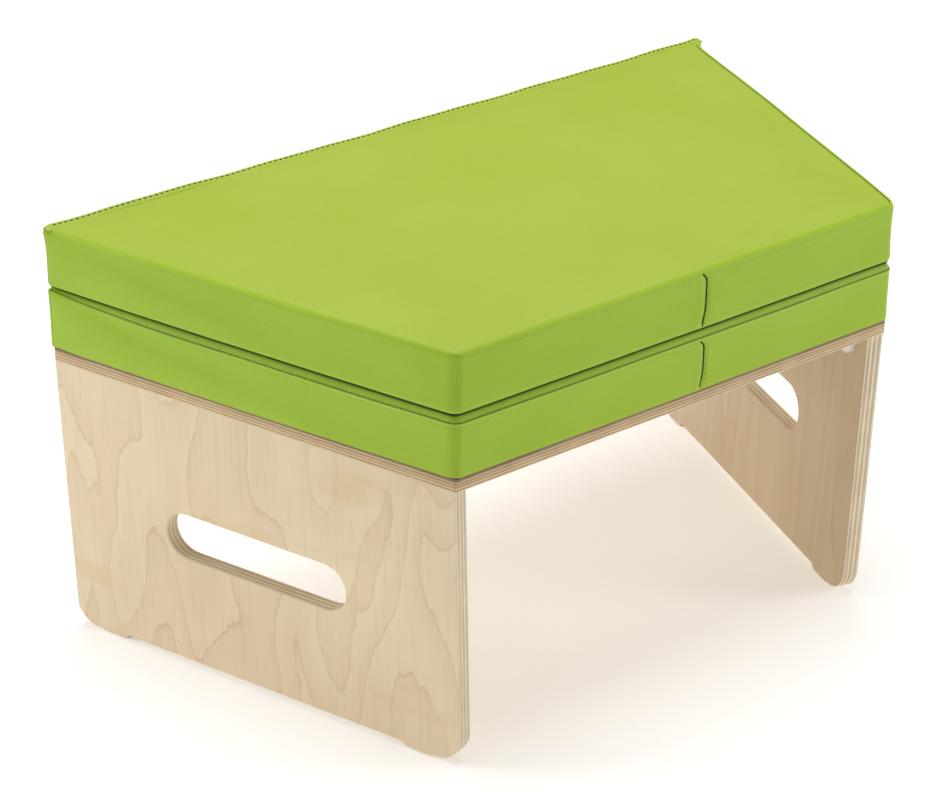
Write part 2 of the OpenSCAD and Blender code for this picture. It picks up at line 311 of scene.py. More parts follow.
@dataclass(frozen=True)
class Plywood:
    """Lacquered plywood in the solid: figured faces, plies wherever it is cut, and painted shade on its top plies
    under an overhang.
    """

    name: str
    thickness: float
    plies: int
    through: Through
    face: Rgb = srgb(236, 217, 183)
    figure: Rgb = srgb(224, 200, 166)
    contour: Rgb = srgb(204, 172, 132)
    warm: Rgb = srgb(222, 190, 136)
    ply_pale: Rgb = srgb(238, 226, 200)
    ply_dark: Rgb = srgb(192, 172, 142)
    glue: Rgb = srgb(116, 90, 62)
    start: float = 0.0
    seed: float = 0.0
    stretch: float = 0.34
    scale: float = 11.0
    rings: float = 7.0
    lean: float = 3.0
    # painted shade: how strongly, and in what colour, the top plies darken where the mat overhangs them
    overhang_shade: float = 0.0
    overhang_shade_colour: Rgb = srgb(104, 66, 46)

    def material(self) -> bpy.types.Material:
        """Makes the finish.

        Returns:
            The material.
        """
        book = ShaderBook(self.name, Coat_Weight=0.08, Coat_Roughness=0.45, Specular_IOR_Level=0.3)
        at = book.place()
        x, y, z = book.split(at)
        along, across = (z, x) if self.through is Through.Y else (x, y)
        depth = (y if self.through is Through.Y else z) - self.start
        colour, streak = self.veneer(book, along, across)
        step = depth * (self.plies / self.thickness)
        odd = (step.math("FLOOR") * 0.5).math("FRACT") * 2.0
        line = (step.math("FRACT") - 0.5).math("ABSOLUTE").ramp(0.4, 0.5)
        run = book.noise(book.join(across * 0.12, depth * 9.0, along * 0.12), 110.0, 3.0, 0.6)
        fibre = book.noise(at, 900.0, 3.0, 0.7)
        wear = book.noise(book.join(across, depth, along), 34.0, 2.0, 0.5)
        layer = book.mix(odd * (0.32 + wear * 0.5), self.ply_pale, self.ply_dark)
        layer = book.mix(run.ramp(0.35, 0.7) * 0.45, layer, self.ply_dark)
        layer = book.mix(fibre.ramp(0.45, 0.75) * (0.12 + odd * 0.3), layer, self.glue)
        layer = book.mix(line * wear.ramp(0.3, 0.65) * 0.6, layer, self.glue)
        inner = depth.ramp(*VENEER) * (self.thickness - depth).ramp(*VENEER)
        colour = book.mix(inner, colour, layer)
        # painted shade: the plies darken a little from 8.5 mm below the top face and strongly in its last 2.6 mm,
        # under the mat's overhang
        upper = depth.ramp(self.thickness - 0.0085, self.thickness - 0.006) * 0.14
        rim = depth.ramp(self.thickness - 0.0026, self.thickness - 0.0014) * 0.7
        colour = book.mix((upper + rim) * self.overhang_shade, colour, self.overhang_shade_colour)
        rough = 0.5 + streak * 0.1 + inner * 0.2
        height = streak * 0.5 + fibre * inner * 0.9
        return book.finish(Base_Color=colour, Roughness=rough, Normal=book.bump(height, 0.00012, 0.5))

    def veneer(self, book: ShaderBook, along: Sig, across: Sig) -> tuple[Sig, Sig]:
        """The figure of the rotary-cut face.

        Args:
            book: The material's book.
            along: Distance along the grain.
            across: Distance across it.

        Returns:
            The face's colour, and its fine streaks.
        """
        jag = book.noise(book.join(across, 2.0, along * 0.22), 95.0, 2.0, 0.6)
        hills = book.noise(book.join(across, self.seed, along * self.stretch), self.scale, 1.2, 0.42)
        growth = (hills * self.rings + (jag - 0.5) * 0.3 + across * self.lean).math("FRACT")
        rim = growth.ramp(0.9, 0.985)
        streak = book.noise(book.join(across, 0.0, along * 0.035), 260.0, 3.0, 0.6)
        broad = book.noise(book.join(across, self.seed + 4.0, along * 0.45), 7.0, 3.0, 0.5)
        warm = book.noise(book.join(across * 0.4, self.seed + 7.0, along * 1.6), 9.0, 3.0, 0.6)
        colour = book.mix(growth.ramp(0.1, 0.95) * 0.34 + broad.ramp(0.35, 0.7) * 0.3, self.face, self.figure)
        colour = book.mix(rim * broad.ramp(0.3, 0.6) * 0.42, colour, self.contour)
        colour = book.mix(warm.ramp(0.56, 0.72) * 0.4, colour, self.warm)
        colour = book.mix(streak.ramp(0.45, 0.8) * 0.22, colour, self.contour)
        spot = book.join(across, self.seed + 5.0, along * 0.2)
        knots = book.cells(spot, 17.0)
        rare = book.noise(spot, 13.0, 1.0).ramp(0.60, 0.66)
        colour = book.mix(knots.ramp(0.075, 0.03) * rare * 0.5, colour, self.warm)
        return book.mix(knots.ramp(0.026, 0.012) * rare * 0.85, colour, self.glue), streak


@dataclass(frozen=True)
class Laminate:
    """Hard white laminate whose cut edge shows its dark core."""

    name: str
    face_z: float
    white: Rgb = srgb(238, 238, 234)
    core: Rgb = srgb(88, 46, 32)

    def material(self) -> bpy.types.Material:
        """Makes the finish.

        Returns:
            The material.
        """
        book = ShaderBook(self.name, Coat_Weight=0.04, Coat_Roughness=0.4, Specular_IOR_Level=0.25)
        at = book.place()
        _, _, z = book.split(at)
        skin = z.ramp(self.face_z - 0.00004, self.face_z - 0.00001)
        mottle = book.noise(at, 420.0, 3.0, 0.6)
        white = book.mix(mottle * 0.12, self.white, srgb(214, 214, 210))
        core = book.mix(mottle.ramp(0.3, 0.7) * 0.5, self.core, srgb(54, 26, 18))
        return book.finish(
            Base_Color=book.mix(skin, core, white),
            Roughness=0.55 - skin * 0.22 + mottle * 0.06,
            Normal=book.bump(mottle, 0.00004, 0.4),
        )


@dataclass(frozen=True)
class Moulded:
    """Moulded plastic with a faint spark-eroded grain."""

    name: str
    colour: Rgb
    worn: Rgb
    rough: float = 0.45

    def material(self) -> bpy.types.Material:
        """Makes the finish.

        Returns:
            The material.
        """
        book = ShaderBook(self.name, Subsurface_Weight=0.04, Specular_IOR_Level=0.45)
        at = book.place()
        grain = book.noise(at, 2600.0, 2.0, 0.6)
        cloud = book.noise(at, 60.0, 3.0, 0.5)
        colour = book.mix(cloud.ramp(0.4, 0.75) * 0.4 + grain * 0.08, self.colour, self.worn)
        return book.finish(
            Base_Color=colour, Roughness=self.rough + (cloud - 0.5) * 0.15, Normal=book.bump(grain, 0.00005, 0.5)
        )


@dataclass(frozen=True)
class Metal:
    """Plated metal with fine brushing and dull patches."""

    name: str
    colour: Rgb
    tarnish: Rgb
    rough: float = 0.3

    def material(self) -> bpy.types.Material:
        """Makes the finish.

        Returns:
            The material.
        """
        book = ShaderBook(self.name, Metallic=1.0)
        at = book.place()
        brush = book.noise(book.scaled(at, (1.0, 12.0, 1.0)), 900.0, 2.0, 0.6)
        cloud = book.noise(at, 180.0, 3.0, 0.6)
        return book.finish(
            Base_Color=book.mix(cloud.ramp(0.42, 0.75) * 0.7, self.colour, self.tarnish),
            Roughness=self.rough + cloud * 0.18 + brush * 0.08,
            Normal=book.bump(brush, 0.00003, 0.4),
        )


@dataclass(frozen=True)
class Woven:
    """Woven tape or twisted thread."""

    name: str
    colour: Rgb
    shade: Rgb
    pitch: float = 0.0009

    def material(self) -> bpy.types.Material:
        """Makes the finish.

        Returns:
            The material.
        """
        book = ShaderBook(self.name, Sheen_Weight=0.25, Specular_IOR_Level=0.25)
        at = book.place()
        x, y, z = book.split(at)
        turn = math.tau / self.pitch
        warp = (x * turn).math("SINE") * 0.5 + 0.5
        weft = (z * turn + y * turn).math("SINE") * 0.5 + 0.5
        weave = warp * weft
        dust = book.noise(at, 300.0, 3.0, 0.6)
        colour = book.mix(weave.ramp(0.5, 0.0) * 0.6, self.colour, self.shade)
        return book.finish(
            Base_Color=book.mix(dust.ramp(0.45, 0.8) * 0.2, colour, self.shade),
            Roughness=0.72 + weave * 0.12,
            Normal=book.bump(weave, 0.00012, 0.7),
        )


@dataclass(frozen=True)
class Porous:
    """Open-celled foam."""

    name: str
    colour: Rgb = srgb(232, 222, 176)
    # painted shade in the pore hollows, also used for a random darker tint
    pore_shade_and_tint: Rgb = srgb(176, 160, 104)

    def material(self) -> bpy.types.Material:
        """Makes the finish.

        Returns:
            The material.
        """
        book = ShaderBook(self.name, Specular_IOR_Level=0.15)
        at = book.place()
        cells = book.cells(at, 1100.0)
        cloud = book.noise(at, 14.0, 3.0, 0.5)
        # painted shade: the pits at the cell centres darken, and the cloud below adds a random tint
        colour = book.mix(cells.ramp(0.45, 0.15) * 0.6, self.colour, self.pore_shade_and_tint)
        return book.finish(
            Base_Color=book.mix(cloud * 0.2, colour, self.pore_shade_and_tint),
            Roughness=0.9 - cloud * 0.08,
            Normal=book.bump(cells, 0.0004, 0.7),
        )


@dataclass(frozen=True)
class PaleFloor:
    """The plain pale ground that the bench stands on."""

    name: str = "pale_ground"
    colour: Rgb = srgb(250, 250, 250)
    glow: float = 0.29

    def material(self) -> bpy.types.Material:
        """Makes the finish.

        Returns:
            The material.
        """
        book = ShaderBook(
            self.name, Specular_IOR_Level=0.05, Emission_Color=(1.0, 1.0, 1.0, 1.0), Emission_Strength=self.glow
        )
        cloud = book.noise(book.place(), 1.5, 2.0, 0.5)
        return book.finish(
            Base_Color=book.mix(cloud * 0.08, self.colour, srgb(244, 244, 243)), Roughness=0.9 - cloud * 0.05
        )


# ---- mesh helpers -------------------------------------------------------------------------------


def new_piece(
    name: str,
    verts: Any,
    faces: Sequence[Sequence[int]],
    material: bpy.types.Material,
    smooth: float | None = 35.0,
) -> bpy.types.Object:
    """Makes a mesh object.

    Args:
        name: The piece's name.
        verts: Its points, in metres.
        faces: Its faces, as lists of point numbers.
        material: Its finish.
        smooth: The angle in degrees above which an edge stays sharp, or None for flat faces.

    Returns:
        The object, linked to the scene.
    """
    mesh = bpy.data.meshes.new(name)
    mesh.from_pydata([tuple(map(float, v)) for v in verts], [], [tuple(map(int, f)) for f in faces])
    mesh.validate()
    mesh.materials.append(material)
    if smooth is not None:
        mesh.shade_smooth()
        if smooth < 180:
            mesh.set_sharp_from_angle(angle=math.radians(smooth))
    made = bpy.data.objects.new(name, mesh)
    bpy.context.scene.collection.objects.link(made)
    return made


def apply_all(piece: bpy.types.Object) -> None:
    """Bakes a piece's modifiers into its mesh."""
    bpy.context.view_layer.update()
    graph = bpy.context.evaluated_depsgraph_get()
    mesh = bpy.data.meshes.new_from_object(piece.evaluated_get(graph), depsgraph=graph)
    piece.modifiers.clear()
    piece.data = mesh


def points_of(mesh: bpy.types.Mesh) -> np.ndarray:
    """A mesh's points as rows."""
    flat = np.zeros(len(mesh.vertices) * 3)
    mesh.vertices.foreach_get("co", flat)
    return flat.reshape(-1, 3)


def arc(centre: Flat, radius: float, start: float, end: float, steps: int) -> list[Flat]:
    """Points on an arc, its ends included, with angles in degrees."""
    angles = [math.radians(start + (end - start) * k / steps) for k in range(steps + 1)]
    return [(centre[0] + radius * math.cos(a), centre[1] + radius * math.sin(a)) for a in angles]


def shrunk(loop: Sequence[Flat], inset: float) -> list[Flat]:
    """A closed anticlockwise loop moved inwards.

    Args:
        loop: The loop's points.
        inset: How far its sides move in.

    Returns:
        The moved points, in the same order.
    """
    pts = np.array(loop)
    ahead = np.roll(pts, -1, 0) - pts
    ahead /= np.linalg.norm(ahead, axis=1)[:, None]
    behind = np.roll(ahead, 1, 0)
    mid = ahead + behind
    mid /= np.linalg.norm(mid, axis=1)[:, None]
    normal = np.stack([-mid[:, 1], mid[:, 0]], 1)
    spread = np.maximum((normal * np.stack([-ahead[:, 1], ahead[:, 0]], 1)).sum(1), 0.4)
    return [tuple(p) for p in pts + normal * (inset / spread)[:, None]]


@dataclass
class Panel:
    """A flat board with rounded arrises and openings, built in its own plane."""

    outline: list[Flat]
    holes: list[list[Flat]]
    thickness: float
    arris: float
    steps: int = 4
    top_arris: float | None = None

    def layers(self) -> list[Flat]:
        """The edge's profile.

        Returns:
            Its (inset, depth) pairs, from the first face to the second one.
        """
        first, last = self.arris, self.arris if self.top_arris is None else self.top_arris
        turn = [math.pi / 2 * k / self.steps for k in range(self.steps + 1)]
        low = [(first * (1 - math.sin(a)), first * (1 - math.cos(a))) for a in turn]
        high = [(last * (1 - math.sin(a)), self.thickness - last * (1 - math.cos(a))) for a in reversed(turn)]
        return low + high

    def build(self, name: str, material: bpy.types.Material, lift: Callable[[float, float, float], Point],
              flip: bool = False) -> bpy.types.Object:
        """Makes the board.

        Args:
            name: The piece's name.
            material: Its finish.
            lift: Gives the point for a place in the plane and a depth.
            flip: Whether the faces turn the other way round.

        Returns:
            The board as an object.
        """
        verts: list[Point] = []
        faces: list[tuple[int, ...]] = []
        ends: list[list[list[int]]] = [[], []]
        for loop in [self.outline, *self.holes]:
            rows = []
            for inset, depth in self.layers():
                ring = shrunk(loop, inset)
                rows.append(range(len(verts), len(verts) + len(ring)))
                verts += [lift(a, b, depth) for a, b in ring]
            for low, high in zip(rows, rows[1:]):
                count = len(low)
                faces += [(low[i], low[(i + 1) % count], high[(i + 1) % count], high[i]) for i in range(count)]
            ends[0].append(list(rows[0]))
            ends[1].append(list(rows[-1]))
        layer = self.layers()
        for side, loops in enumerate(ends):
            inset = layer[0][0] if side == 0 else layer[-1][0]
            rings = [shrunk(loop, inset) for loop in [self.outline, *self.holes]]
            numbers = [n for loop in loops for n in loop]
            spots = [spot for ring in rings for spot in ring]
            for tri in tessellate_polygon([[Vector((a, b, 0.0)) for a, b in ring] for ring in rings]):
                a, b, c = (spots[k] for k in tri)
                turn = (b[0] - a[0]) * (c[1] - a[1]) - (b[1] - a[1]) * (c[0] - a[0])
                order = tri if (turn < 0) == (side == 0) else tri[::-1]
                faces.append(tuple(numbers[k] for k in order))
        if flip:
            faces = [f[::-1] for f in faces]
        return new_piece(name, verts, faces, material, 25.0)


def tube(path: np.ndarray, radius: float, sides: int = 6, closed: bool = False) -> tuple[list, list]:
    """A round tube along a path.

    Args:
        path: The centre line's points.
        radius: The tube's radius.
        sides: How many sides it has.
        closed: Whether the path is a ring. An open tube's ends taper in and close.

    Returns:
        The tube's points and faces.
    """
    ahead = np.roll(path, -1, 0) - np.roll(path, 1, 0) if closed else np.gradient(path, axis=0)
    ahead /= np.linalg.norm(ahead, axis=1)[:, None] + 1e-12
    up = np.array([0.0, 0.0, 1.0])
    side = np.cross(ahead, up)
    weak = np.linalg.norm(side, axis=1) < 0.2
    side[weak] = np.cross(ahead[weak], np.array([0.31, 0.95, 0.0]))
    side /= np.linalg.norm(side, axis=1)[:, None]
    lift = np.cross(side, ahead)
    girth = np.full(len(path), radius)
    if not closed:
        girth[0] = girth[-1] = radius * 0.35
    turns = [math.tau * k / sides for k in range(sides)]
    round_x, round_y = (np.array([f(t) for t in turns])[None, :, None] for f in (math.cos, math.sin))
    rings = path[:, None] + girth[:, None, None] * (round_x * side[:, None] + round_y * lift[:, None])
    verts = rings.reshape(-1, 3)
    rows = len(path)
    faces = []
    for i in range(rows if closed else rows - 1):
        j = (i + 1) % rows
        for k in range(sides):
            m = (k + 1) % sides
            faces.append((i * sides + k, j * sides + k, j * sides + m, i * sides + m))
    if not closed:
        faces.append(tuple(range(sides)))
        faces.append(tuple(range((rows - 1) * sides, rows * sides))[::-1])
    return list(verts), faces


class Heap:
    """Gathers many small shapes into one mesh."""

    def __init__(self) -> None:
        """Starts empty."""
        self.verts: list[Any] = []
        self.faces: list[tuple[int, ...]] = []

    def add(self, verts: Iterable[Any], faces: Iterable[Sequence[int]]) -> None:
        """Adds one shape."""
        base = len(self.verts)
        self.verts += list(verts)
        self.faces += [tuple(base + k for k in f) for f in faces]

    def make(self, name: str, material: bpy.types.Material, smooth: float = 60.0) -> bpy.types.Object:
        """The gathered shapes as one object."""
        return new_piece(name, self.verts, self.faces, material, smooth)


@dataclass(frozen=True)
class Stitch:
    """A stitch's pitch from dash to dash, a dash's length, and the thread's radius."""

    pitch: float
    length: float
    radius: float


LIP_STITCH = Stitch(0.0066, 0.0036, 0.0006)
RIM_STITCH = Stitch(0.0052, 0.0022, 0.0004)
JOINT_STITCH = Stitch(0.0052, 0.0016, 0.00026)
HINGE_STITCH = Stitch(0.0042, 0.0026, 0.00028)


def sew(heap: Heap, path: np.ndarray, stitch: Stitch) -> None:
    """Adds a row of thread dashes along a path.

    Args:
        heap: Where they go.
        path: The row's line, on the surface.
        stitch: The kind of stitch.
    """
    gaps = np.linalg.norm(np.diff(path, axis=0), axis=1)
    run = np.concatenate([[0.0], np.cumsum(gaps)])
    for start in np.arange(stitch.pitch, run[-1] - stitch.pitch, stitch.pitch):
        at = start + stitch.length * np.array([-0.5, -0.25, 0.0, 0.25, 0.5])
        line = np.stack([np.interp(at, run, path[:, k]) for k in range(3)], 1)
        heap.add(*tube(line, stitch.radius, 5))


# ---- the bench ----------------------------------------------------------------------------------

LEG_PLIES, BOARD_PLIES = 7, 9
# The right leg's straight-grain figure. Its face colours are darker than the left leg's as painted shade, because
# its inner face stands in shade.
STRAIGHT_GRAIN_SHADED: dict[str, Any] = {
    "seed": 3.0, "stretch": 0.06, "scale": 16.0, "rings": 5.0,
    "face": srgb(206, 186, 155), "figure": srgb(194, 171, 139), "warm": srgb(206, 180, 138),
    "contour": srgb(188, 163, 130), "ply_pale": srgb(250, 236, 210), "ply_dark": srgb(196, 170, 132),
}


class Assembly:
    """Pieces that ride on one body of the CAD model."""

    body: str
    pieces: list[bpy.types.Object]

    def keep(self, piece: bpy.types.Object, nodes: Sequence[str], slot: str) -> None:
        """Lets a piece ride on the assembly's body.

        Args:
            piece: The new piece.
            nodes: The CAD nodes that it stands for, if any.
            slot: The record's material slot; not used.
        """
        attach(piece, self.body)
        if nodes:
            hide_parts(*nodes)
        self.pieces.append(piece)


def trapezoid(near: Flat, far: Flat, radius: float, steps: int) -> list[Flat]:
    """The bench's plan with rounded corners, anticlockwise from the front right one.

    Args:
        near: The centre of the front right corner's arc.
        far: The centre of the rear right corner's arc.
        radius: The corners' radius.
        steps: How many steps each arc has.

    Returns:
        The outline's points.
    """
    deg = math.degrees(SLANT)
    corners = [(near, -90.0, -deg), (far, -deg, 90.0),
               ((-far[0], far[1]), 90.0, 180.0 + deg), ((-near[0], near[1]), 180.0 + deg, 270.0)]
    return [p for centre, a, b in corners for p in arc(centre, radius, a, b, steps)]


@dataclass
class Bench(Assembly):
    """The plywood table: board, laminate, two legs, and the fixings kept from the CAD model."""

    body: str = "bench"
    board_t: float = 0.0142
    leg_t: float = 0.018
    lean: float = math.radians(2.0)
    leg_height: float = 0.304
    pad_h: float = 0.0045
    pad_slope: float = 0.009
    corner_relief: float = 0.0015
    relief_run: float = 0.003
    pad_half: float = 0.020
    pad_from_end: float = 0.052
    corner_r: float = 0.030
    slot_length: float = 0.222
    slot_width: float = 0.052
    slot_drop: float = 0.156
    side_inset: float = 0.001
    end_inset: float = 0.001
    leg_arris: float = 0.0011
    board_arris: float = 0.0009
    top_corner_r: float = 0.003
    top_zone: float = 0.02
    end_zone: float = 0.012
    skin_arrises: Flat = (0.00004, 0.0003)
    board_top_arris: float = 0.00005
    pieces: list[bpy.types.Object] = field(default_factory=list)

    def __post_init__(self) -> None:
        """Works out the heights from the CAD boxes, and the leg's length."""
        low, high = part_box("table_board")
        self.board_z, self.laminate_z = low.z, high.z
        self.top_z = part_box("top_laminate")[1].z
        self.leg_length = DEPTH / math.cos(SLANT) - 2 * self.end_inset
        self.drop = self.leg_height / math.cos(self.lean)

    def plan(self, radius: float) -> list[Flat]:
        """The top's outline, anticlockwise from the front right corner."""
        back_half = FRONT_HALF + DEPTH * math.tan(SLANT)
        inset, run = radius / math.cos(SLANT), math.tan(SLANT) * radius
        near = (FRONT_HALF + run - inset, -DEPTH / 2 + radius)
        return trapezoid(near, (back_half - run - inset, DEPTH / 2 - radius), radius, 8)

    def leg_outline(self) -> list[Flat]:
        """The leg's outline in its own plane, with its round feet and raised pads.

        Returns:
            Its points, anticlockwise from the top front corner.
        """
        r, length, base = self.corner_r, self.leg_length, -self.drop
        low, foot = base - self.pad_h + self.corner_relief, base - self.pad_h
        inner = self.pad_from_end + self.pad_half
        outer = self.pad_from_end - self.pad_half + 0.001
        ease = [(k / 8, 0.5 - 0.5 * math.cos(math.pi * k / 8)) for k in range(9)]
        front = [(outer + self.relief_run * t, low + (foot - low) * w) for t, w in ease[1:]]
        front += [(outer + self.pad_half, foot)]
        front += [(inner - self.pad_slope * (1 - t), foot + (base - foot) * w) for t, w in ease]
        rear = [(length - x, z) for x, z in reversed(front)]
        middle = [(x, base) for x in np.linspace(0.12, length - 0.12, 7)]
        sides = [(length, z) for z in np.linspace(low + r + 0.04, -0.03, 4)]
        start = arc((r, low + r), r, 180.0, 270.0, 12)
        end = arc((length - r, low + r), r, 270.0, 360.0, 12)
        return [(0.0, 0.0), (0.0, -0.1), *start, *front, *middle, *rear, *end, *sides, (length, 0.0)]

    def slot_outline(self) -> list[Flat]:
        """The hand slot's outline.

        Returns:
            Its points, clockwise, so that they bound a hole.
        """
        half, r = (self.slot_length - self.slot_width) / 2, self.slot_width / 2
        middle = self.leg_length / 2
        right = arc((middle + half, -self.slot_drop), r, -90.0, 90.0, 20)
        left = arc((middle - half, -self.slot_drop), r, 90.0, 270.0, 20)
        return (right + left)[::-1]

    def leg_place(self, right: bool) -> Matrix:
        """The placing of a leg made in its own axes: X along it, Y inwards, Z up, from the board's underside.

        Args:
            right: Whether it is the right leg.

        Returns:
            The matrix from the leg's axes to the bench's.
        """
        turn = 1 if right else -1
        s, c = math.sin(SLANT), math.cos(SLANT)
        along, inward = Vector((s, turn * c, 0)), Vector((-turn * c, s, 0))
        corner = Vector((turn * FRONT_HALF, -DEPTH / 2, self.board_z))
        start = self.end_inset if right else -(self.end_inset + self.leg_length)
        origin = corner + along * start + inward * self.side_inset
        base = Matrix((along, inward, Vector((0, 0, 1)))).transposed().to_4x4()
        return Matrix.Translation(origin) @ base @ Matrix.Rotation(self.lean, 4, "X")

    def leg(self, side: Side, finish: bpy.types.Material) -> bpy.types.Object:
        """One leg, cut level at the board and at its glides, and flush with the board's back.

        Args:
            side: The end that it stands at.
            finish: Its plywood.

        Returns:
            The leg, placed and riding on the bench.
        """
        right = side is Side.RIGHT
        tan, cos, sin = math.tan(self.lean), math.cos(self.lean), math.sin(self.lean)
        back = DEPTH - self.end_inset

        def lift(x: float, z: float, depth: float) -> Point:
            """A point of the leg, with its level and flush cuts.

            Args:
                x: The place along the leg.
                z: The height from the board's underside.
                depth: The depth from the outer face.

            Returns:
                The point in the leg's axes.
            """
            if z > -self.top_zone:
                z = z - depth * tan
            elif z < -self.drop:
                share = min(1.0, (-self.drop - z) / self.pad_h)
                z -= share * (depth * tan + self.pad_h * (1 / cos - 1))
            inward = self.side_inset + depth * cos - z * sin
            most = (back - inward * math.sin(SLANT)) / math.cos(SLANT) - self.end_inset
            if right:
                x = min(x, most) if x > self.leg_length - self.end_zone else x
            else:
                x = max(x, self.leg_length - most) if x < self.end_zone else x
            return (x, depth, z)

        panel = Panel(self.leg_outline(), [self.slot_outline()], self.leg_t, self.leg_arris, 4)
        made = panel.build(f"{side.value}_leg_panel", finish, lift, flip=True)
        made.matrix_world = self.leg_place(right)
        self.keep(made, [f"{side.value}_leg"], "leg_plywood")
        return made

    def bore(self, piece: bpy.types.Object, nodes: Sequence[str]) -> None:
        """Cuts the seats of screws into a piece.

        Args:
            piece: The piece.
            nodes: The CAD nodes of the screws.
        """
        for name in nodes:
            cut = piece.modifiers.new(name, "BOOLEAN")
            cut.operation, cut.solver = "DIFFERENCE", "EXACT"
            cut.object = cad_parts[name]
        apply_all(piece)

    def build(self) -> None:
        """Makes the board, the laminate and the two legs."""
        # painted shade: the board's top plies darken under the mat's overhang
        board_wood = Plywood("board_plywood", self.board_t, BOARD_PLIES, Through.Z, start=self.board_z, seed=6.0,
                             ply_pale=srgb(232, 210, 170), ply_dark=srgb(164, 124, 82), overhang_shade=0.9).material()
        board = Panel(self.plan(self.top_corner_r), [], self.board_t, self.board_arris, 3, self.board_top_arris)
        made = board.build("board_panel", board_wood, lambda a, b, d: (a, b, self.board_z + d))
        self.bore(made, [f"screws_{side.value}_{end}" for side in Side for end in ("front", "rear")])
        self.keep(made, ["table_board"], "top_plywood")
        low_arris, high_arris = self.skin_arrises
        skin = Panel(self.plan(self.top_corner_r), [], self.top_z - self.laminate_z, low_arris, 1, high_arris)
        sheet = skin.build("laminate_sheet", Laminate("white_laminate", self.top_z).material(),
                           lambda a, b, d: (a, b, self.laminate_z + d))
        self.keep(sheet, ["top_laminate"], "white_laminate")
        for side in Side:
            # painted shade: the right leg takes the darker straight-grain look
            looks = STRAIGHT_GRAIN_SHADED if side is Side.RIGHT else {}
            wood = Plywood(f"leg_plywood_{side.value}", self.leg_t, LEG_PLIES, Through.Y, **looks).material()
            leg = self.leg(side, wood)
            log.info("leg %s: %d faces", side.value, len(leg.data.polygons))

    def dress(self) -> None:
        """Gives the kept CAD fixings their finishes."""
        beech = Plywood("turned_beech", 1.0, 3, Through.Z, start=-0.5, face=srgb(206, 172, 130),
                        figure=srgb(172, 134, 92)).material()
        nylon = Moulded("white_nylon", srgb(236, 236, 236), srgb(214, 213, 208), 0.4).material()
        zinc = Metal("zinc_plate", srgb(206, 208, 204), srgb(160, 158, 140), 0.28).material()
        grey = Moulded("grey_glide", srgb(128, 134, 142), srgb(92, 96, 102), 0.5).material()
        finishes = {"dowels": beech, "bracket": nylon, "screws": zinc, "glide": grey}
        for name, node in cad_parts.items():
            for start, finish in finishes.items():
                if name.startswith(start):
                    dress_node(node, finish)


def dress_node(node: bpy.types.Object, finish: bpy.types.Material) -> None:
    """Puts a finish on a kept CAD node, and rounds its shading.

    Args:
        node: The node's object.
        finish: Its material.
    """
    node.data.materials.clear()
    node.data.materials.append(finish)
    node.data.polygons.foreach_set("material_index", [0] * len(node.data.polygons))
    node.data.shade_smooth()
    node.data.set_sharp_from_angle(angle=math.radians(30))


# ---- the mat ------------------------------------------------------------------------------------

UNSORTED = -1  # a face whose part of the side band isn't known yet
WALL_SHARES = (0.04, 0.1, 0.2, 0.32, 0.44, 0.56, 0.68, 0.8, 0.9, 0.96)  # mesh lines up the side band
BROW_LINES = (0.0028, 0.0044, 0.0065, 0.0085, 0.0105, 0.014)  # mesh lines in from the rim
JOINT_STEP, JOINT_REACH = 0.0016, 0.0135  # mesh lines beside the front joint
PRESSURE, STRETCH_STIFFNESS, BEND_STIFFNESS, STUFFING_FRAMES = 4.0, 25.0, 3.0, 20
EAR_OUT = {Level.UPPER: 0.007, Level.LOWER: 0.002}  # how far the back corners stand out


class Part(Enum):
    """The sewn parts of one mat panel's cover."""

    TOP_PANEL = 0
    BASE_PANEL = 1
    BAND_LEFT = 2
    BAND_RIGHT = 3
    BAND_BACK = 4


@dataclass(frozen=True)
class EdgeShape:
    """How the rims of a stuffed panel fall away from its flat faces."""

    front: float  # the upper rim's drop at the front
    back: float  # and at the back
    base: float  # the lower rim's rise
    brow: float  # how far in from the rim the fall starts
    radius: float  # the rim's own roll
    settle: float = 0.055  # how soon the drop grows from the back to its front value
    round: bool = False  # whether the fall is a quarter round and not an S curve


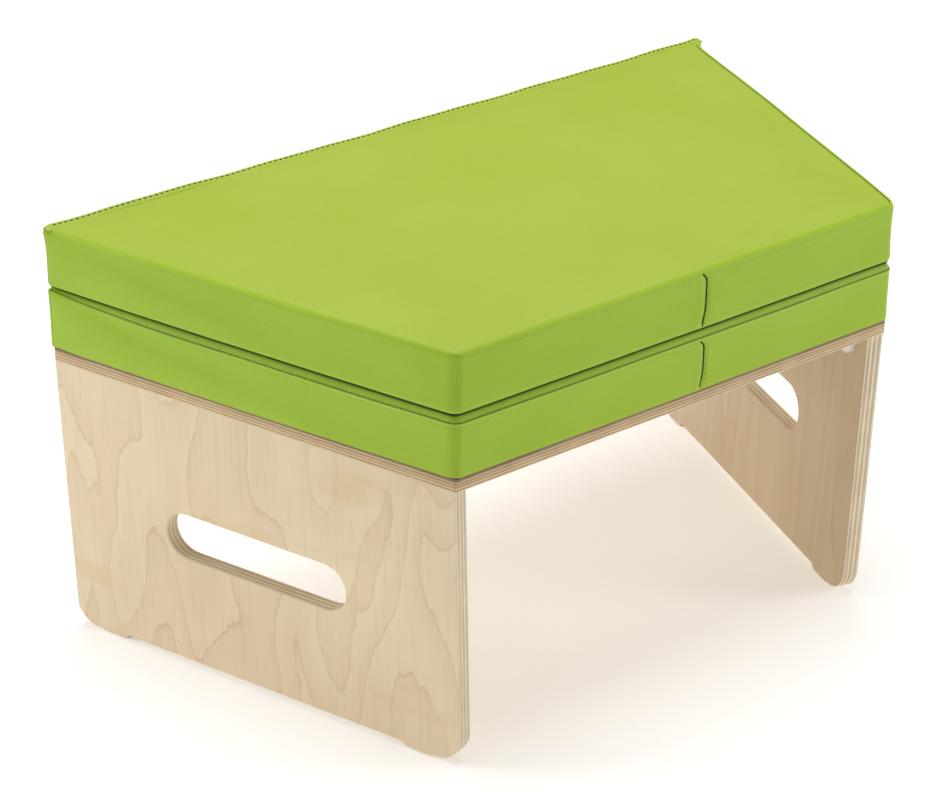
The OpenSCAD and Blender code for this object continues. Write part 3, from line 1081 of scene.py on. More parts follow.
@dataclass
class MatPanel(Assembly):
    """One stuffed panel of the folding mat, with its sewn cover and foam."""

    level: Level
    # a paler copy painted with the light and sheen of the top, then the band fabric
    lit_top_and_band_fabrics: tuple[bpy.types.Material, bpy.types.Material]
    thread: bpy.types.Material
    # crease is a darker fabric for painted shade in the seam grooves, and shadow a near-black one for painted shade
    # in deep folds
    crease: bpy.types.Material
    shadow: bpy.types.Material
    edge: EdgeShape
    # rim is the top rim's tube fabric: painted shade on the lower panel and painted highlight on the upper. glow is
    # a paler one for the painted highlight on the lower's rim roll
    rim: bpy.types.Material
    glow: bpy.types.Material
    side_over: float = 0.0025
    front_r: float = 0.011
    back_r: float = 0.0035
    joint_x: float = 0.0245
    back_return: float = 0.004
    swell: float = 0.005
    pitch: float = 0.0105
    crown: float = 0.0016
    side_bow: float = 0.0024
    front_bow: float = 0.0010
    slack: float = 0.0006
    gap_shade: float = 0.0018
    joint_girth: float = 0.0013
    foam_inset: float = 0.006
    foam_r: float = 0.006
    foam_arris: float = 0.004
    pieces: list[bpy.types.Object] = field(default_factory=list)

    def __post_init__(self) -> None:
        """Takes the panel's place from its CAD nodes."""
        self.which = self.level.value
        low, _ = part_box(f"{self.which}_base_panel")
        _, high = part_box(f"{self.which}_top_panel")
        self.low_z, self.high_z = low.z, high.z
        self.front_y, self.back_y = low.y, high.y
        self.body = f"{self.which}_mat"
        self.height = self.high_z - self.low_z
        self.across = 2 * self.half((self.front_y + self.back_y) / 2)
        self.span = self.back_y - self.front_y
        self.edge_r = self.edge.radius

    def half(self, y: Any) -> Any:
        """Half of the panel's width at depth y."""
        out = self.side_over / math.cos(SLANT)
        return FRONT_HALF + (y + DEPTH / 2) * math.tan(SLANT) + out

    def lines(self, length: float, joint: float | None = None) -> list[float]:
        """Distances across the panel at which its mesh has lines.

        Args:
            length: The distance across.
            joint: Where the lines lie close together for a seam, if anywhere.

        Returns:
            The distances, closer near both edges.
        """
        r = self.edge_r
        near = [0.0, r * (1 - math.sin(math.radians(60))), r * (1 - math.sin(math.radians(30))), r]
        near += [d for d in BROW_LINES if d > r + 0.001]
        count = max(4, round((length - 2 * near[-1]) / self.pitch))
        middle = list(np.linspace(near[-1], length - near[-1], count + 1))
        if joint is not None:
            close = [joint + k * JOINT_STEP for k in range(-7, 8)]
            middle = [d for d in middle if abs(d - joint) > JOINT_REACH] + close
        return sorted(near[:-1] + middle + [length - d for d in near[:-1]])

    def spot(self, a: float, b: float) -> Flat:
        """The place in plan of a mesh point, with the corners rounded.

        Args:
            a: The distance across from the left side.
            b: The distance from the front.

        Returns:
            Its X and Y.
        """
        left, right = a, self.across - a
        front, back = b, self.span - b
        r = self.front_r if front < back else self.back_r
        side, end = min(left, right), min(front, back)
        if side < r and end < r:
            p, q = 1 - side / r, 1 - end / r
            size, far = max(p, q), math.hypot(p, q)
            if far > 0:
                side, end = r * (1 - p * size / far), r * (1 - q * size / far)
            left = side if left <= right else self.across - side
            front = end if front <= back else self.span - end
        y = self.front_y + front
        half = self.half(y)
        return (-half + 2 * half * left / self.across, y)

    def fall(self, near: float, y: float, top: bool) -> float:
        """How far the surface falls back from its flat level.

        Args:
            near: The distance from the rim.
            y: The place from front to back.
            top: Whether it is the top panel.

        Returns:
            The fall, in metres.
        """
        r, shape = self.edge_r, self.edge
        rounding = r - math.sqrt(max(0.0, r * r - max(0.0, r - near) ** 2))
        away = 1.0 - min(1.0, max(0.0, near - r) / (shape.brow - r))
        ease = 1 - math.sqrt(max(0.0, 1 - away * away)) if shape.round else away * away * (3 - 2 * away)
        if not top:
            return rounding + shape.base * ease
        share = 1 - math.exp(-max(0.0, self.back_y - y) / shape.settle)
        return rounding + (shape.back + (shape.front - shape.back) * share) * ease

    def grid(self) -> tuple[list[Point], list[tuple[int, ...]], list[int]]:
        """The closed form of the panel.

        Returns:
            Its points, its faces, and the sewn part that each face belongs to.
        """
        joint = (self.joint_x + self.half(self.front_y)) / (2 * self.half(self.front_y)) * self.across
        xs, ys = self.lines(self.across, joint), self.lines(self.span)
        cols, rows = len(xs), len(ys)
        points: list[Point] = []
        kinds: list[int] = []
        faces: list[tuple[int, ...]] = []
        zone: list[tuple[int, float]] = []
        index: dict[tuple[int, int, int], int] = {}
        for layer in (0, 1):
            for j, b in enumerate(ys):
                for i, a in enumerate(xs):
                    near = min(a, self.across - a, b, self.span - b)
                    x, y = self.spot(a, b)
                    fall = self.fall(near, y, layer == 1)
                    index[layer, i, j] = len(points)
                    points.append((x, y, self.high_z - fall if layer else self.low_z + fall))
                    zone.append((layer, near))
        for layer, panel in enumerate((Part.BASE_PANEL.value, Part.TOP_PANEL.value)):
            for j in range(rows - 1):
                for i in range(cols - 1):
                    corners = ((i, j), (i + 1, j), (i + 1, j + 1), (i, j + 1))
                    quad = [index[layer, p, q] for p, q in corners]
                    faces.append(tuple(quad if layer else quad[::-1]))
                    near = min(xs[i], self.across - xs[i + 1], ys[j], self.span - ys[j + 1])
                    kinds.append(panel if near >= self.edge_r - 1e-9 else UNSORTED)
        walk = [(i, 0) for i in range(cols - 1)] + [(cols - 1, j) for j in range(rows - 1)]
        walk += [(i, rows - 1) for i in range(cols - 1, 0, -1)] + [(0, j) for j in range(rows - 1, 0, -1)]
        low_rim, high_rim = ([index[layer, i, j] for i, j in walk] for layer in (0, 1))
        wall = self.wall(points, zone, low_rim, high_rim)
        faces += wall
        kinds += [UNSORTED] * len(wall)
        self.zone = np.array(zone)
        for number, kind in enumerate(kinds):
            if kind == UNSORTED:
                x, y, _ = np.mean([points[k] for k in faces[number]], axis=0)
                side = Part.BAND_LEFT if x < self.joint_x else Part.BAND_RIGHT
                kinds[number] = (Part.BAND_BACK if y > self.back_y - self.back_return else side).value
        return points, faces, kinds

    def wall(self, points: list[Point], zone: list[tuple[int, float]], low: list[int], high: list[int]) -> list:
        """The side wall between the rims of the base and the top.

        Args:
            points: The form's points, which the wall's are added to.
            zone: Each point's zone, which the wall's are added to.
            low: The base's rim, as point numbers.
            high: The top's rim.

        Returns:
            The wall's faces.
        """
        rings = [low]
        for share in WALL_SHARES:
            rings.append(list(range(len(points), len(points) + len(low))))
            for foot, head in zip(low, high):
                x, y, z = points[foot]
                points.append((x, y, z + share * (points[head][2] - z)))
                zone.append((2, share))
        rings.append(high)
        return [(under[k], under[k + 1 - len(low)], over[k + 1 - len(low)], over[k])
                for under, over in zip(rings, rings[1:]) for k in range(len(low))]

    def stuff(self, body: bpy.types.Object) -> None:
        """Swells the panel as stuffed cloth does, held at its back and on what it lies on.

        Args:
            body: The closed form.
        """
        rest = points_of(body.data)
        grown = self.blown(body, rest)
        shift = grown - rest
        size = np.linalg.norm(shift, axis=1)
        cap = self.caps(rest)
        shift = shift * (cap * np.tanh(size / np.maximum(cap, 1e-6)) / np.maximum(size, 1e-9))[:, None]
        moved = rest + shift + self.shaping(rest)
        body.data.vertices.foreach_set("co", moved.ravel())
        body.data.update()

    def blown(self, body: bpy.types.Object, rest: np.ndarray) -> np.ndarray:
        """Runs a cloth simulation under pressure.

        Args:
            body: The closed form.
            rest: Its points before it.

        Returns:
            Its points after it.
        """
        flat = (rest[:, 2] < self.low_z + 0.002) | (rest[:, 1] > self.back_y - 0.0012)
        held = body.vertex_groups.new(name="held")
        held.add([int(k) for k in np.nonzero(flat)[0]], 1.0, "REPLACE")
        cloth = body.modifiers.new("stuffing", "CLOTH")
        cloth.settings.vertex_group_mass = held.name
        cloth.settings.use_pressure = True
        cloth.settings.uniform_pressure_force = PRESSURE
        cloth.settings.tension_stiffness = cloth.settings.compression_stiffness = STRETCH_STIFFNESS
        cloth.settings.bending_stiffness = BEND_STIFFNESS
        cloth.settings.effector_weights.gravity = 0.0
        cloth.settings.quality = 5
        for number in range(1, STUFFING_FRAMES + 1):
            bpy.context.scene.frame_set(number)
        graph = bpy.context.evaluated_depsgraph_get()
        grown = points_of(body.evaluated_get(graph).to_mesh())
        body.modifiers.clear()
        body.vertex_groups.clear()
        bpy.context.scene.frame_set(1)
        return grown

    def caps(self, rest: np.ndarray) -> np.ndarray:
        """How far each point may swell.

        Args:
            rest: The form's points.

        Returns:
            One distance for each point.
        """
        kind, near = self.zone.T
        top = self.swell * 0.5 * np.clip((near - self.edge_r) / 0.03, 0.04, 1.0)
        band = self.swell * 0.55 * np.clip(4 * near * (1 - near), 0.08, 1.0)
        cap = np.where(kind == 2, 0.6 * band, np.where(kind == 1, top, 0.00001))
        return np.where(rest[:, 1] > self.back_y - 0.004, 0.0002, cap)

    def shaping(self, rest: np.ndarray) -> np.ndarray:
        """The given part of the form: crown, slack along the edges, and pulls at the seams.

        Args:
            rest: The form's points.

        Returns:
            How far each point moves.
        """
        kind, near = self.zone.T
        x, y, _ = rest.T
        half = self.half(y)
        u = np.clip(x / half, -1, 1)
        v = np.clip((y - self.front_y) / self.span * 2 - 1, -1, 1)
        phase = 0.0 if self.level is Level.UPPER else 1.9
        belly = np.where(kind == 2, 4 * near * (1 - near), 0.0)
        inner = np.where(kind == 1, np.clip(near / 0.04, 0, 1), 0.0)
        ripple = 0.0004 * np.sin(x * 31 + phase) * np.cos(y * 27 + 2 * phase) + 0.0002 * np.sin(x * 67 + 60 * y)
        out = np.zeros_like(rest)
        side = np.clip((np.abs(x) - half + 0.03) / 0.03, 0, 1) * np.clip((self.back_y - y) / 0.03, 0, 1)
        front = np.clip((self.front_y + 0.03 - y) / 0.03, 0, 1)
        wave = 0.0004 * np.sin(y * 26 + phase) + 0.0003 * np.sin(y * 57 + 2 * phase)
        out[:, 0] = np.sign(x) * side * (self.side_bow * (1 - v**2) + (wave + self.slack) * (0.4 + belly))
        wave = 0.0004 * np.sin(x * 19 + phase) + 0.0003 * np.sin(x * 47 + phase)
        out[:, 1] = -front * (self.front_bow * (1 - u**2) + (wave + self.slack) * (0.4 + belly))
        gap = x - self.seam_x(np.where(kind == 2, near, np.where(kind == 1, 1.0, 0.0)))
        body = np.clip(front * 1.4, 0, 1) * (kind == 2)
        groove = 0.0021 * np.exp(-((gap / 0.0022) ** 2))
        bulge = 0.0008 * np.exp(-(((gap + 0.006) / 0.006) ** 2))
        out[:, 1] += body * (groove - bulge)
        out[:, 2] = inner * (self.crown * (1 - u**4) * (1 - v**4) + ripple)
        ear = EAR_OUT[self.level]
        gap = np.sqrt((np.abs(x) - half) ** 2 + (y - self.back_y) ** 2 + (0.8 * (rest[:, 2] - self.high_z)) ** 2)
        nub = np.exp(-((gap / 0.011) ** 2))
        out[:, 0] += nub * np.where(x > 0, ear, -0.45 * ear)
        out[:, 2] += nub * 0.3 * ear
        out[:, 1] -= nub * np.where(x > 0, 0.3 * ear, 0.0)
        rim = np.where(kind == 1, np.clip(1 - near / 0.02, 0, 1), 0.0)
        out[:, 2] += rim * (0.0003 * np.sin(x * 23 + phase) + 0.0003 * np.sin(y * 29 + phase))
        return out

    def seam_x(self, share: np.ndarray) -> np.ndarray:
        """The line of the bands' front joint: X at a share of the band's height."""
        hook = 0.0085 * np.clip((share - 0.80) / 0.20, 0, 1) ** 2.2
        foot = 0.0050 * np.clip((0.45 - share) / 0.45, 0, 1) ** 1.8
        return self.joint_x - hook - foot

    def build(self) -> None:
        """Makes the stuffed form, and cuts it into the sewn parts of its cover."""
        points, faces, kinds = self.grid()
        body = new_piece(f"{self.which}_form", points, faces, self.lit_top_and_band_fabrics[0], 180.0)
        layer = body.data.attributes.new("sewn_part", "INT", "FACE")
        layer.data.foreach_set("value", kinds)
        self.stuff(body)
        soften = body.modifiers.new("soften", "SUBSURF")
        soften.levels = soften.render_levels = 1
        apply_all(body)
        self.form = points_of(body.data)
        parts = np.zeros(len(body.data.polygons), np.int32)
        body.data.attributes["sewn_part"].data.foreach_get("value", parts)
        self.normals = np.array([v.normal for v in body.data.vertices])
        polygons = [tuple(p.vertices) for p in body.data.polygons]
        for part in Part:
            chosen = [f for f, kind in zip(polygons, parts) if kind == part.value]
            self.cover_part(part, chosen)
        self.edges(polygons, parts)
        bpy.data.objects.remove(body)
        self.foam()

    def cover_part(self, part: Part, faces: Sequence[Sequence[int]]) -> None:
        """Makes one sewn part of the cover, with the normals of the whole form.

        Args:
            part: Which part it is.
            faces: Its faces, as lists of the form's point numbers.
        """
        node = f"{self.which}_{part.name.lower()}"
        # painted light: only the upper's top panel takes the paler lit copy, and every other part takes the band
        # fabric
        banded = self.level is Level.LOWER or part is not Part.TOP_PANEL
        used = sorted({k for f in faces for k in f})
        number = {k: n for n, k in enumerate(used)}
        piece = new_piece(f"{node}_cover", self.form[used], [[number[k] for k in f] for f in faces],
                          self.lit_top_and_band_fabrics[banded], 180.0)
        piece.data.normals_split_custom_set_from_vertices([tuple(n) for n in self.normals[used]])
        self.keep(piece, [node], "coated_fabric")

    def edges(self, polygons: Sequence[Sequence[int]], parts: np.ndarray) -> None:
        """Sews the lines where two parts of the cover meet, and lays tubes of painted shade and painted highlight
        along them.

        Args:
            polygons: The form's faces.
            parts: The sewn part of each face.
        """
        owners: dict[tuple[int, int], set[int]] = {}
        for face, part in zip(polygons, parts):
            for a, b in zip(face, (*face[1:], face[0])):
                owners.setdefault((min(a, b), max(a, b)), set()).add(int(part))
        panels = {Part.TOP_PANEL.value, Part.BASE_PANEL.value}
        rims = [e for e, found in owners.items() if len(found) == 2 and found & panels]
        returns = [e for e, found in owners.items()
                   if len(found) == 2 and Part.BAND_BACK.value in found and not found & panels]
        crease, thread, dark, slope, roll = Heap(), Heap(), Heap(), Heap(), Heap()
        for path, closed in chains(returns):
            # painted shade: a dark fabric tube in the seams where the back band returns
            crease.add(*tube(self.form[path] - self.normals[path] * 0.0003, 0.0004, 6, closed))
        for path, closed in chains(rims):
            line, normal = self.form[path], self.normals[path]
            base = line[:, 2].mean() < self.low_z + self.height / 2
            # the base rims get a dark tube of painted shade; the top rims get a tube of the rim fabric, which is
            # painted shade on the lower panel and painted highlight on the upper
            (crease if base else slope).add(*tube(line - normal * 0.00015, 0.00042, 6, closed))
            # painted shade: the upper's base rim gets a near-black tube in the crevice it makes with the lower panel
            if self.level is Level.UPPER and base:
                dark.add(*tube(line - np.array([0.0, 0.0, 0.0006]), self.gap_shade, 8, closed))
            elif self.level is Level.UPPER:
                run = self.right_rim(line)
                # painted highlight: a pale tube along the upper's right top rim, with a dark tube of painted shade
                # just inside it
                slope.add(*tube(run + np.array([0.0007, 0.0, 0.0]), 0.0012, 8))
                crease.add(*tube(run + np.array([-0.0009, 0.0, 0.0002]), 0.0007, 6))
            elif not base:
                # painted highlight: a pale roll tube just under the lower's top rim, with its stitches
                out = normal * np.array([1.0, 1.0, 0.0])
                out /= np.maximum(np.linalg.norm(out, axis=1), 1e-6)[:, None]
                roll.add(*tube(line + out * 0.0007 - np.array([0.0, 0.0, 0.0017]), 0.0011, 8, closed))
                up = np.concatenate([line, line[:1]]) + np.concatenate([normal, normal[:1]]) * 0.0002
                sew(thread, up, RIM_STITCH)
        self.joint(dark, thread)
        for name, heap, finish in (
            ("seam_crease_shades", crease, self.crease), ("rim_painted_light", slope, self.rim), ("rim_roll_highlight", roll, self.glow),
            ("joint_and_gap_shade", dark, self.shadow), ("stitching", thread, self.thread),
        ):
            if heap.verts:
                self.keep(heap.make(f"{self.which}_{name}", finish, 180.0), [], "coated_fabric")

    def right_rim(self, line: np.ndarray) -> np.ndarray:
        """The stretch of a rim along the right side, short of both corners.

        Args:
            line: The whole rim's points.

        Returns:
            The stretch's points.
        """
        side = line[:, 0] > self.half(line[:, 1]) - 0.016
        right = side & (line[:, 1] < self.back_y - 0.012) & (line[:, 1] > self.front_y + 0.006)
        start = int(np.argmax(right & ~np.roll(right, 1)))
        return np.roll(line, -start, axis=0)[: int(right.sum())]

    def joint(self, dark: Heap, thread: Heap) -> None:
        """Makes a near-black tube of painted shade in the deep fold where the side bands meet at the front, and its
        stitches.

        Args:
            dark: Where the fold's painted shade goes.
            thread: Where the thread goes.
        """
        front = self.form[(self.form[:, 1] < self.front_y + 0.006) & (np.abs(self.form[:, 0] - self.joint_x) < 0.03)]
        shares = np.linspace(0.0, 1.0, 33)
        low, high = self.low_z + 0.003, self.high_z - self.edge.front - 0.5 * self.edge_r

        def on_band(aside: float, lift: float) -> np.ndarray:
            """The fold's line on the band's surface.

            Args:
                aside: How far it is moved to the right.
                lift: How far it stands out.

            Returns:
                The line's points.
            """
            rows = []
            for share, x in zip(shares, self.seam_x(shares) + aside):
                z = low + share * (high - low)
                gap = (front[:, 0] - x) ** 2 + (front[:, 2] - z) ** 2
                near = np.argsort(gap)[:6]
                weight = 1 / (gap[near] + 1e-8)
                rows.append((x, float((front[near, 1] * weight).sum() / weight.sum()) - lift, z))
            return np.array(rows)

        fold = on_band(0.0, -0.0004)
        girth = self.joint_girth * (0.6 + 0.4 * np.sin(np.pi * shares) ** 0.5)
        verts, faces = tube(fold, 1.0, 7)
        centre = np.repeat(fold, 7, axis=0)
        dark.add(centre + (np.array(verts) - centre) * np.repeat(girth, 7)[:, None], faces)
        sew(thread, on_band(0.0048, 0.00005)[2:-2], JOINT_STITCH)

    def foam(self) -> None:
        """Makes the foam block inside the cover."""
        inset, r = self.foam_inset, self.foam_r
        low, high = self.low_z + inset, self.high_z - inset - self.edge.front
        y0, y1 = self.front_y + inset + r, self.back_y - inset - r
        out = (inset + r) / math.cos(SLANT)
        plan = trapezoid((self.half(y0) - out, y0), (self.half(y1) - out, y1), r, 6)
        block = Panel(plan, [], high - low, self.foam_arris, 3)
        made = block.build(f"{self.which}_foam_block", Porous(f"{self.which}_open_foam").material(),
                           lambda a, b, d: (a, b, low + d))
        self.keep(made, [f"{self.which}_foam"], "foam")


def chains(edges: Sequence[tuple[int, int]]) -> list[tuple[list[int], bool]]:
    """Joins edges into lines.

    Args:
        edges: Pairs of point numbers.

    Returns:
        Each line's points in order, and whether it is a ring.
    """
    near: dict[int, list[int]] = {}
    for a, b in edges:
        near.setdefault(a, []).append(b)
        near.setdefault(b, []).append(a)
    left = {tuple(sorted(e)) for e in edges}
    found = []
    starts = [k for k in sorted(near) if len(near[k]) != 2] + sorted(near)
    for start in starts:
        for step in near[start]:
            if tuple(sorted((start, step))) not in left:
                continue
            path = [start, step]
            left.discard(tuple(sorted((start, step))))
            while True:
                onward = [k for k in near[path[-1]] if tuple(sorted((path[-1], k))) in left]
                if not onward or len(near[path[-1]]) != 2:
                    break
                left.discard(tuple(sorted((path[-1], onward[0]))))
                path.append(onward[0])
            closed = path[0] == path[-1]
            found.append((path[:-1] if closed else path, closed))
    return found


@dataclass
class ZipFastening:
    """A zip along the back of one mat panel."""

    panel: MatPanel
    length: float = 0.640
    width: float = 0.022
    tooth_pitch: float = 0.0021
    chain: float = 0.005

    def build(self) -> None:
        """Makes the tape with its two rows of coils, and dresses the CAD slider."""
        which = self.panel.which
        tape = Woven(f"{which}_zip_weave", srgb(112, 150, 20), srgb(72, 104, 8)).material()
        coil = Moulded(f"{which}_coil_nylon", srgb(98, 134, 16), srgb(66, 92, 10), 0.35).material()
        low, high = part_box(f"{which}_zip")
        middle, y = (low.z + high.z) / 2, self.panel.back_y
        strip = Heap()
        for sign in (-1, 1):
            z0, z1 = middle + sign * 0.0004, middle + sign * self.width / 2
            profile = [(z0, 0.0007), (z0 + sign * 0.0016, 0.0005), (z1 - sign * 0.0012, 0.0004), (z1, -0.0002)]
            strip.add(*ribbon(self.length, y, profile))
        piece = strip.make(f"{which}_zip_tape", tape, 40.0)
        self.panel.keep(piece, [f"{which}_zip"], "zip_tape")
        teeth = Heap()
        count = int(self.length / self.tooth_pitch)
        turn = np.linspace(0.0, math.tau, 8, endpoint=False)
        for k in range(count):
            x = -self.length / 2 + (k + 0.5) * self.tooth_pitch
            sign = 1 if k % 2 else -1
            ring = np.stack([x + np.zeros(8) + 0.0004 * np.sin(turn), y + 0.0009 + 0.0006 * np.cos(turn),
                             middle + sign * 0.0008 + 0.0017 * np.sin(turn)], 1)
            teeth.add(*tube(ring, 0.00042, 5, True))
        chain = teeth.make(f"{which}_zip_coils", coil, 60.0)
        self.panel.keep(chain, [], "zip_tape")
        steel = Metal(f"{which}_slider_plate", srgb(176, 178, 176), srgb(120, 120, 114), 0.3).material()
        dress_node(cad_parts[f"{which}_zip_slider"], steel)


def ribbon(length: float, y: float, profile: Sequence[Flat]) -> tuple[list[Point], list[tuple[int, ...]]]:
    """A strip along X whose cross-section is a line.

    Args:
        length: The strip's length, centred on X = 0.
        y: The surface that it lies on.
        profile: (z, stand-off) pairs.

    Returns:
        The strip's points and faces.
    """
    xs = np.linspace(-length / 2, length / 2, int(length / 0.008) + 1)
    verts = [(float(x), y + out, z) for x in xs for z, out in profile]
    n = len(profile)
    rising = profile[-1][0] > profile[0][0]
    faces = []
    for i in range(len(xs) - 1):
        for k in range(n - 1):
            quad = (i * n + k, i * n + k + 1, (i + 1) * n + k + 1, (i + 1) * n + k)
            faces.append(quad if rising else quad[::-1])
    return verts, faces


@dataclass
class MatHinge:
    """The fabric strip that joins the two panels along their backs."""

    lower: MatPanel
    upper: MatPanel
    strip_width: float = 0.014
    stand_off: float = 0.0022
    sheet_t: float = 0.0008

    def build(self) -> None:
        """Makes one sheet across the fold, and its two rows of stitches."""
        low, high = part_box("lower_hinge_strip")
        fold = (high.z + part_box("upper_hinge_strip")[0].z) / 2
        y, length = self.lower.back_y, high.x - low.x
        reach = self.strip_width
        steps = [(-reach, 0.0007), (-reach + 0.0008, 0.0010), (-0.009, 0.0011), (-0.006, 0.0013), (-0.0035, 0.0017),
                 (-0.0018, 0.0020), (-0.0007, self.stand_off), (0.0, self.stand_off)]
        profile = steps + [(-z, out) for z, out in reversed(steps[:-1])]
        verts, faces = ribbon(length, y, [(fold + z, out) for z, out in profile])
        sheet = new_piece("hinge_sheet", verts, faces, self.lower.lit_top_and_band_fabrics[0], 180.0)
        thick = sheet.modifiers.new("cloth_thickness", "SOLIDIFY")
        thick.thickness, thick.offset = self.sheet_t, -1.0
        apply_all(sheet)
        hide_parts("lower_hinge_strip", "upper_hinge_strip")
        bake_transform(sheet)
        2 * reach + 0.002
        for panel, sign in ((self.lower, -1), (self.upper, 1)):
            rows = Heap()
            line = np.array([(x, y + 0.00125, fold + sign * (reach - 0.003))
                             for x in np.linspace(-length / 2 + 0.004, length / 2 - 0.004, 60)])
            sew(rows, line, HINGE_STITCH)
            panel.keep(rows.make(f"{panel.which}_hinge_stitching", panel.thread, 180.0), [], "coated_fabric")


@dataclass
class BackLip:
    """The raised, topstitched edge along the long back side of the upper panel."""

    panel: MatPanel
    left_over: float = 0.001
    right_over: float = 0.005
    ear_rise: float = 0.0012
    stitch_row: int = 5
    profile: tuple[Flat, ...] = (
        (0.0, -0.0030), (0.0004, -0.0008), (0.0002, 0.0010), (-0.0010, 0.0020), (-0.0022, 0.0021),
        (-0.0036, 0.0012), (-0.0048, 0.0011), (-0.0062, 0.0012), (-0.0078, 0.0006), (-0.0090, -0.0006),
    )

    def build(self) -> None:
        """Makes the lip with its wavy rim and its row of stitches. The profile is (out, rise) pairs."""
        panel = self.panel
        half = panel.half(panel.back_y) - 0.001
        xs = np.linspace(-half - self.left_over, half + self.right_over, 220)
        verts: list[Point] = []
        for x in xs:
            wave = 0.0004 * math.sin(x * 37) + 0.0003 * math.sin(x * 71 + 1.0) + 0.00025 * math.sin(x * 19 + 0.4)
            ear = math.exp(-((x - half) / 0.010) ** 2)
            end = half + self.left_over + x if x < 0 else half + self.right_over - x
            tuck = math.sin(math.pi / 2 * max(0.2, min(1.0, end / 0.005)))
            left = 1.0 + 0.6 * max(0.0, -x / half)
            for out, rise in self.profile:
                up = rise * (left if rise > 0 else 1.0) + wave * (rise > 0) + self.ear_rise * ear * (rise > 0.0005)
                z = panel.high_z + up * tuck - 0.0012 * (1 - tuck)
                verts.append((float(x), panel.back_y + out - 0.0004, z))
        n = len(self.profile)
        faces = [(i * n + k, (i + 1) * n + k, (i + 1) * n + k + 1, i * n + k + 1)
                 for i in range(len(xs) - 1) for k in range(n - 1)]
        lip = new_piece("upper_back_lip", verts, faces, panel.lit_top_and_band_fabrics[0], 180.0)
        soften = lip.modifiers.new("soften", "SUBSURF")
        soften.levels = soften.render_levels = 1
        apply_all(lip)
        panel.keep(lip, ["upper_edge_lip"], "coated_fabric")
        rows = Heap()
        line = np.array([verts[i * n + self.stitch_row] for i in range(1, len(xs) - 1)])
        line = line + np.array([0, -0.0002, 0.0003])
        sew(rows, line, LIP_STITCH)
        panel.keep(rows.make("upper_lip_stitching", panel.thread, 180.0), [], "coated_fabric")


# ---- the studio ---------------------------------------------------------------------------------


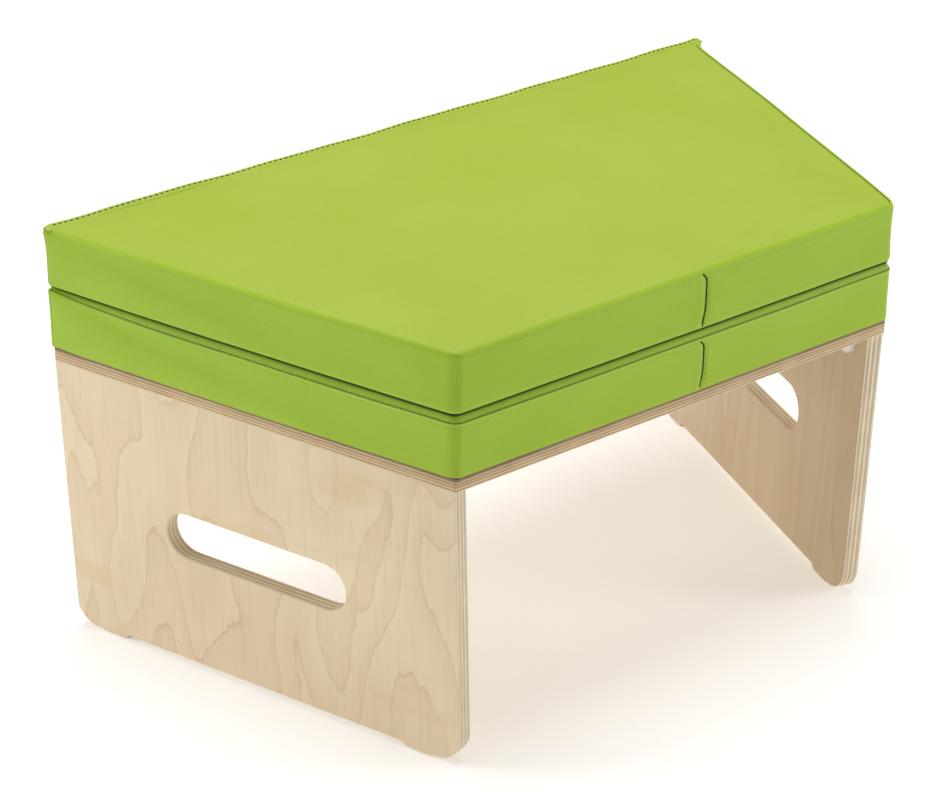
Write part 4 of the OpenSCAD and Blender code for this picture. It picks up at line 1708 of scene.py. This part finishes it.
@dataclass
class Studio:
    """Floor, lights and camera. The eye's height is above the table's face, and a lamp is a name, place, size,
    power and colour."""

    eye: Point = (-1.8298, -2.2108, 1.3720)
    yaw: float = 38.37
    pitch: float = 27.15
    roll: float = 0.33
    lens: float = 119.76
    sky: float = 0.265
    floor_radius: float = 14.0
    aim: Point = (0.0, 0.0, 0.3)
    lamps: tuple[tuple[str, Point, float, float, Rgb], ...] = (
        ("left_softbox", (-3.0, 2.3, 1.4), 1.8, 50.0, (1.0, 1.0, 0.99)),
        ("right_softbox", (3.1, -2.6, 1.5), 1.8, 47.0, (1.0, 1.0, 0.97)),
        ("overhead", (0.1, 0.3, 3.2), 2.6, 68.0, (1.0, 0.99, 1.0)),
    )

    def camera(self) -> None:
        """Stands the camera in front of the bench's left corner."""
        data = bpy.data.cameras.new("eye")
        data.lens, data.sensor_width, data.sensor_fit = self.lens, 36.0, "HORIZONTAL"
        data.clip_start, data.clip_end = 0.1, 50.0
        camera = bpy.data.objects.new("eye", data)
        bpy.context.scene.collection.objects.link(camera)
        yaw, pitch = math.radians(self.yaw), math.radians(self.pitch)
        forward = Vector((math.sin(yaw) * math.cos(pitch), math.cos(yaw) * math.cos(pitch), -math.sin(pitch)))
        right = Vector((math.cos(yaw), -math.sin(yaw), 0.0))
        up = right.cross(forward)
        turn = Matrix((right, up, -forward)).transposed().to_4x4()
        above = Vector((0.0, 0.0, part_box("top_laminate")[1].z))
        roll = Matrix.Rotation(math.radians(self.roll), 4, "Z")
        camera.matrix_world = Matrix.Translation(Vector(self.eye) + above) @ turn @ roll
        bpy.context.scene.camera = camera

    def light(self, name: str, place: Point, size: float, power: float, colour: Rgb) -> None:
        """Adds one large soft lamp that faces the bench.

        Args:
            name: The lamp's name.
            place: Where it hangs.
            size: Its width.
            power: Its power in watts.
            colour: Its colour.
        """
        data = bpy.data.lights.new(name, "AREA")
        data.shape, data.size, data.energy, data.color = "DISK", size, power, colour
        lamp = bpy.data.objects.new(name, data)
        bpy.context.scene.collection.objects.link(lamp)
        lamp.location = place
        lamp.rotation_mode = "QUATERNION"
        lamp.rotation_quaternion = (Vector(self.aim) - Vector(place)).to_track_quat("-Z", "Y")

    def build(self) -> None:
        """Makes the floor, the sky of soft light, the lamps and the camera."""
        ring = [(x, y, 0.0) for x, y in arc((0.0, 0.0), self.floor_radius, 0.0, 360.0, 64)[:-1]]
        floor = new_piece("studio_floor", ring, [tuple(range(64))], PaleFloor().material(), None)
        world = bpy.data.worlds.new("soft_sky")
        bpy.context.scene.world = world
        world.use_nodes = True
        sky = next(n for n in world.node_tree.nodes if n.type == "BACKGROUND")
        sky.inputs[0].default_value = (1.0, 1.0, 1.0, 1.0)
        sky.inputs[1].default_value = self.sky
        for lamp in self.lamps:
            self.light(*lamp)
        scene = bpy.context.scene
        scene.view_settings.view_transform = "Standard"
        scene.view_settings.look = "None"
        self.camera()


def main() -> None:
    """Builds the studio, the bench and the mat."""
    logging.basicConfig(level=logging.INFO, format="%(name)s: %(message)s")
    Studio().build()
    bench = Bench()
    bench.build()
    bench.dress()
    log.info("bench: %d pieces", len(bench.pieces))
    # painted light: the top's fabric is a paler, yellower copy of the band fabric, for the light and sheen on the
    # top
    fabric = CoatedFabric("lime_fabric_lit_top").material()
    # the band fabric; crease, a darker copy for painted shade in seam grooves; soft, a paler copy for painted
    # highlight on rims; shadow, a near-black copy for painted shade in deep folds
    band, crease, soft, shadow = (
        CoatedFabric(name, srgb(*colour), srgb(*deep), srgb(*pale), rough=rough).material()
        for name, colour, deep, pale, rough in (
            ("lime_band_fabric", (160, 193, 38), (124, 163, 26), (172, 201, 56), 0.44),
            ("seam_crease", (96, 128, 20), (70, 98, 10), (120, 152, 34), 0.55),
            ("soft_seam_crease", (176, 208, 76), (152, 188, 52), (190, 220, 96), 0.42),
            ("deep_fold_painted_shade", (24, 54, 14), (12, 32, 6), (44, 80, 20), 0.7),
        )
    )
    thread = Woven("green_thread", srgb(60, 92, 14), srgb(34, 58, 6), 0.0006).material()
    lower = MatPanel(Level.LOWER, (fabric, band), thread, crease, shadow,
                     EdgeShape(0.0088, 0.0012, 0.0006, 0.0105, 0.0016, round=True), crease, soft)
    upper = MatPanel(Level.UPPER, (fabric, band), thread, crease, shadow,
                     EdgeShape(0.0006, 0.0006, 0.0004, 0.012, 0.0055), soft, soft)
    for panel in (lower, upper):
        panel.build()
        ZipFastening(panel).build()
        log.info("%s panel: %d pieces", panel.which, len(panel.pieces))
    MatHinge(lower, upper).build()
    BackLip(upper).build()


if __name__ == "__main__":
    main()
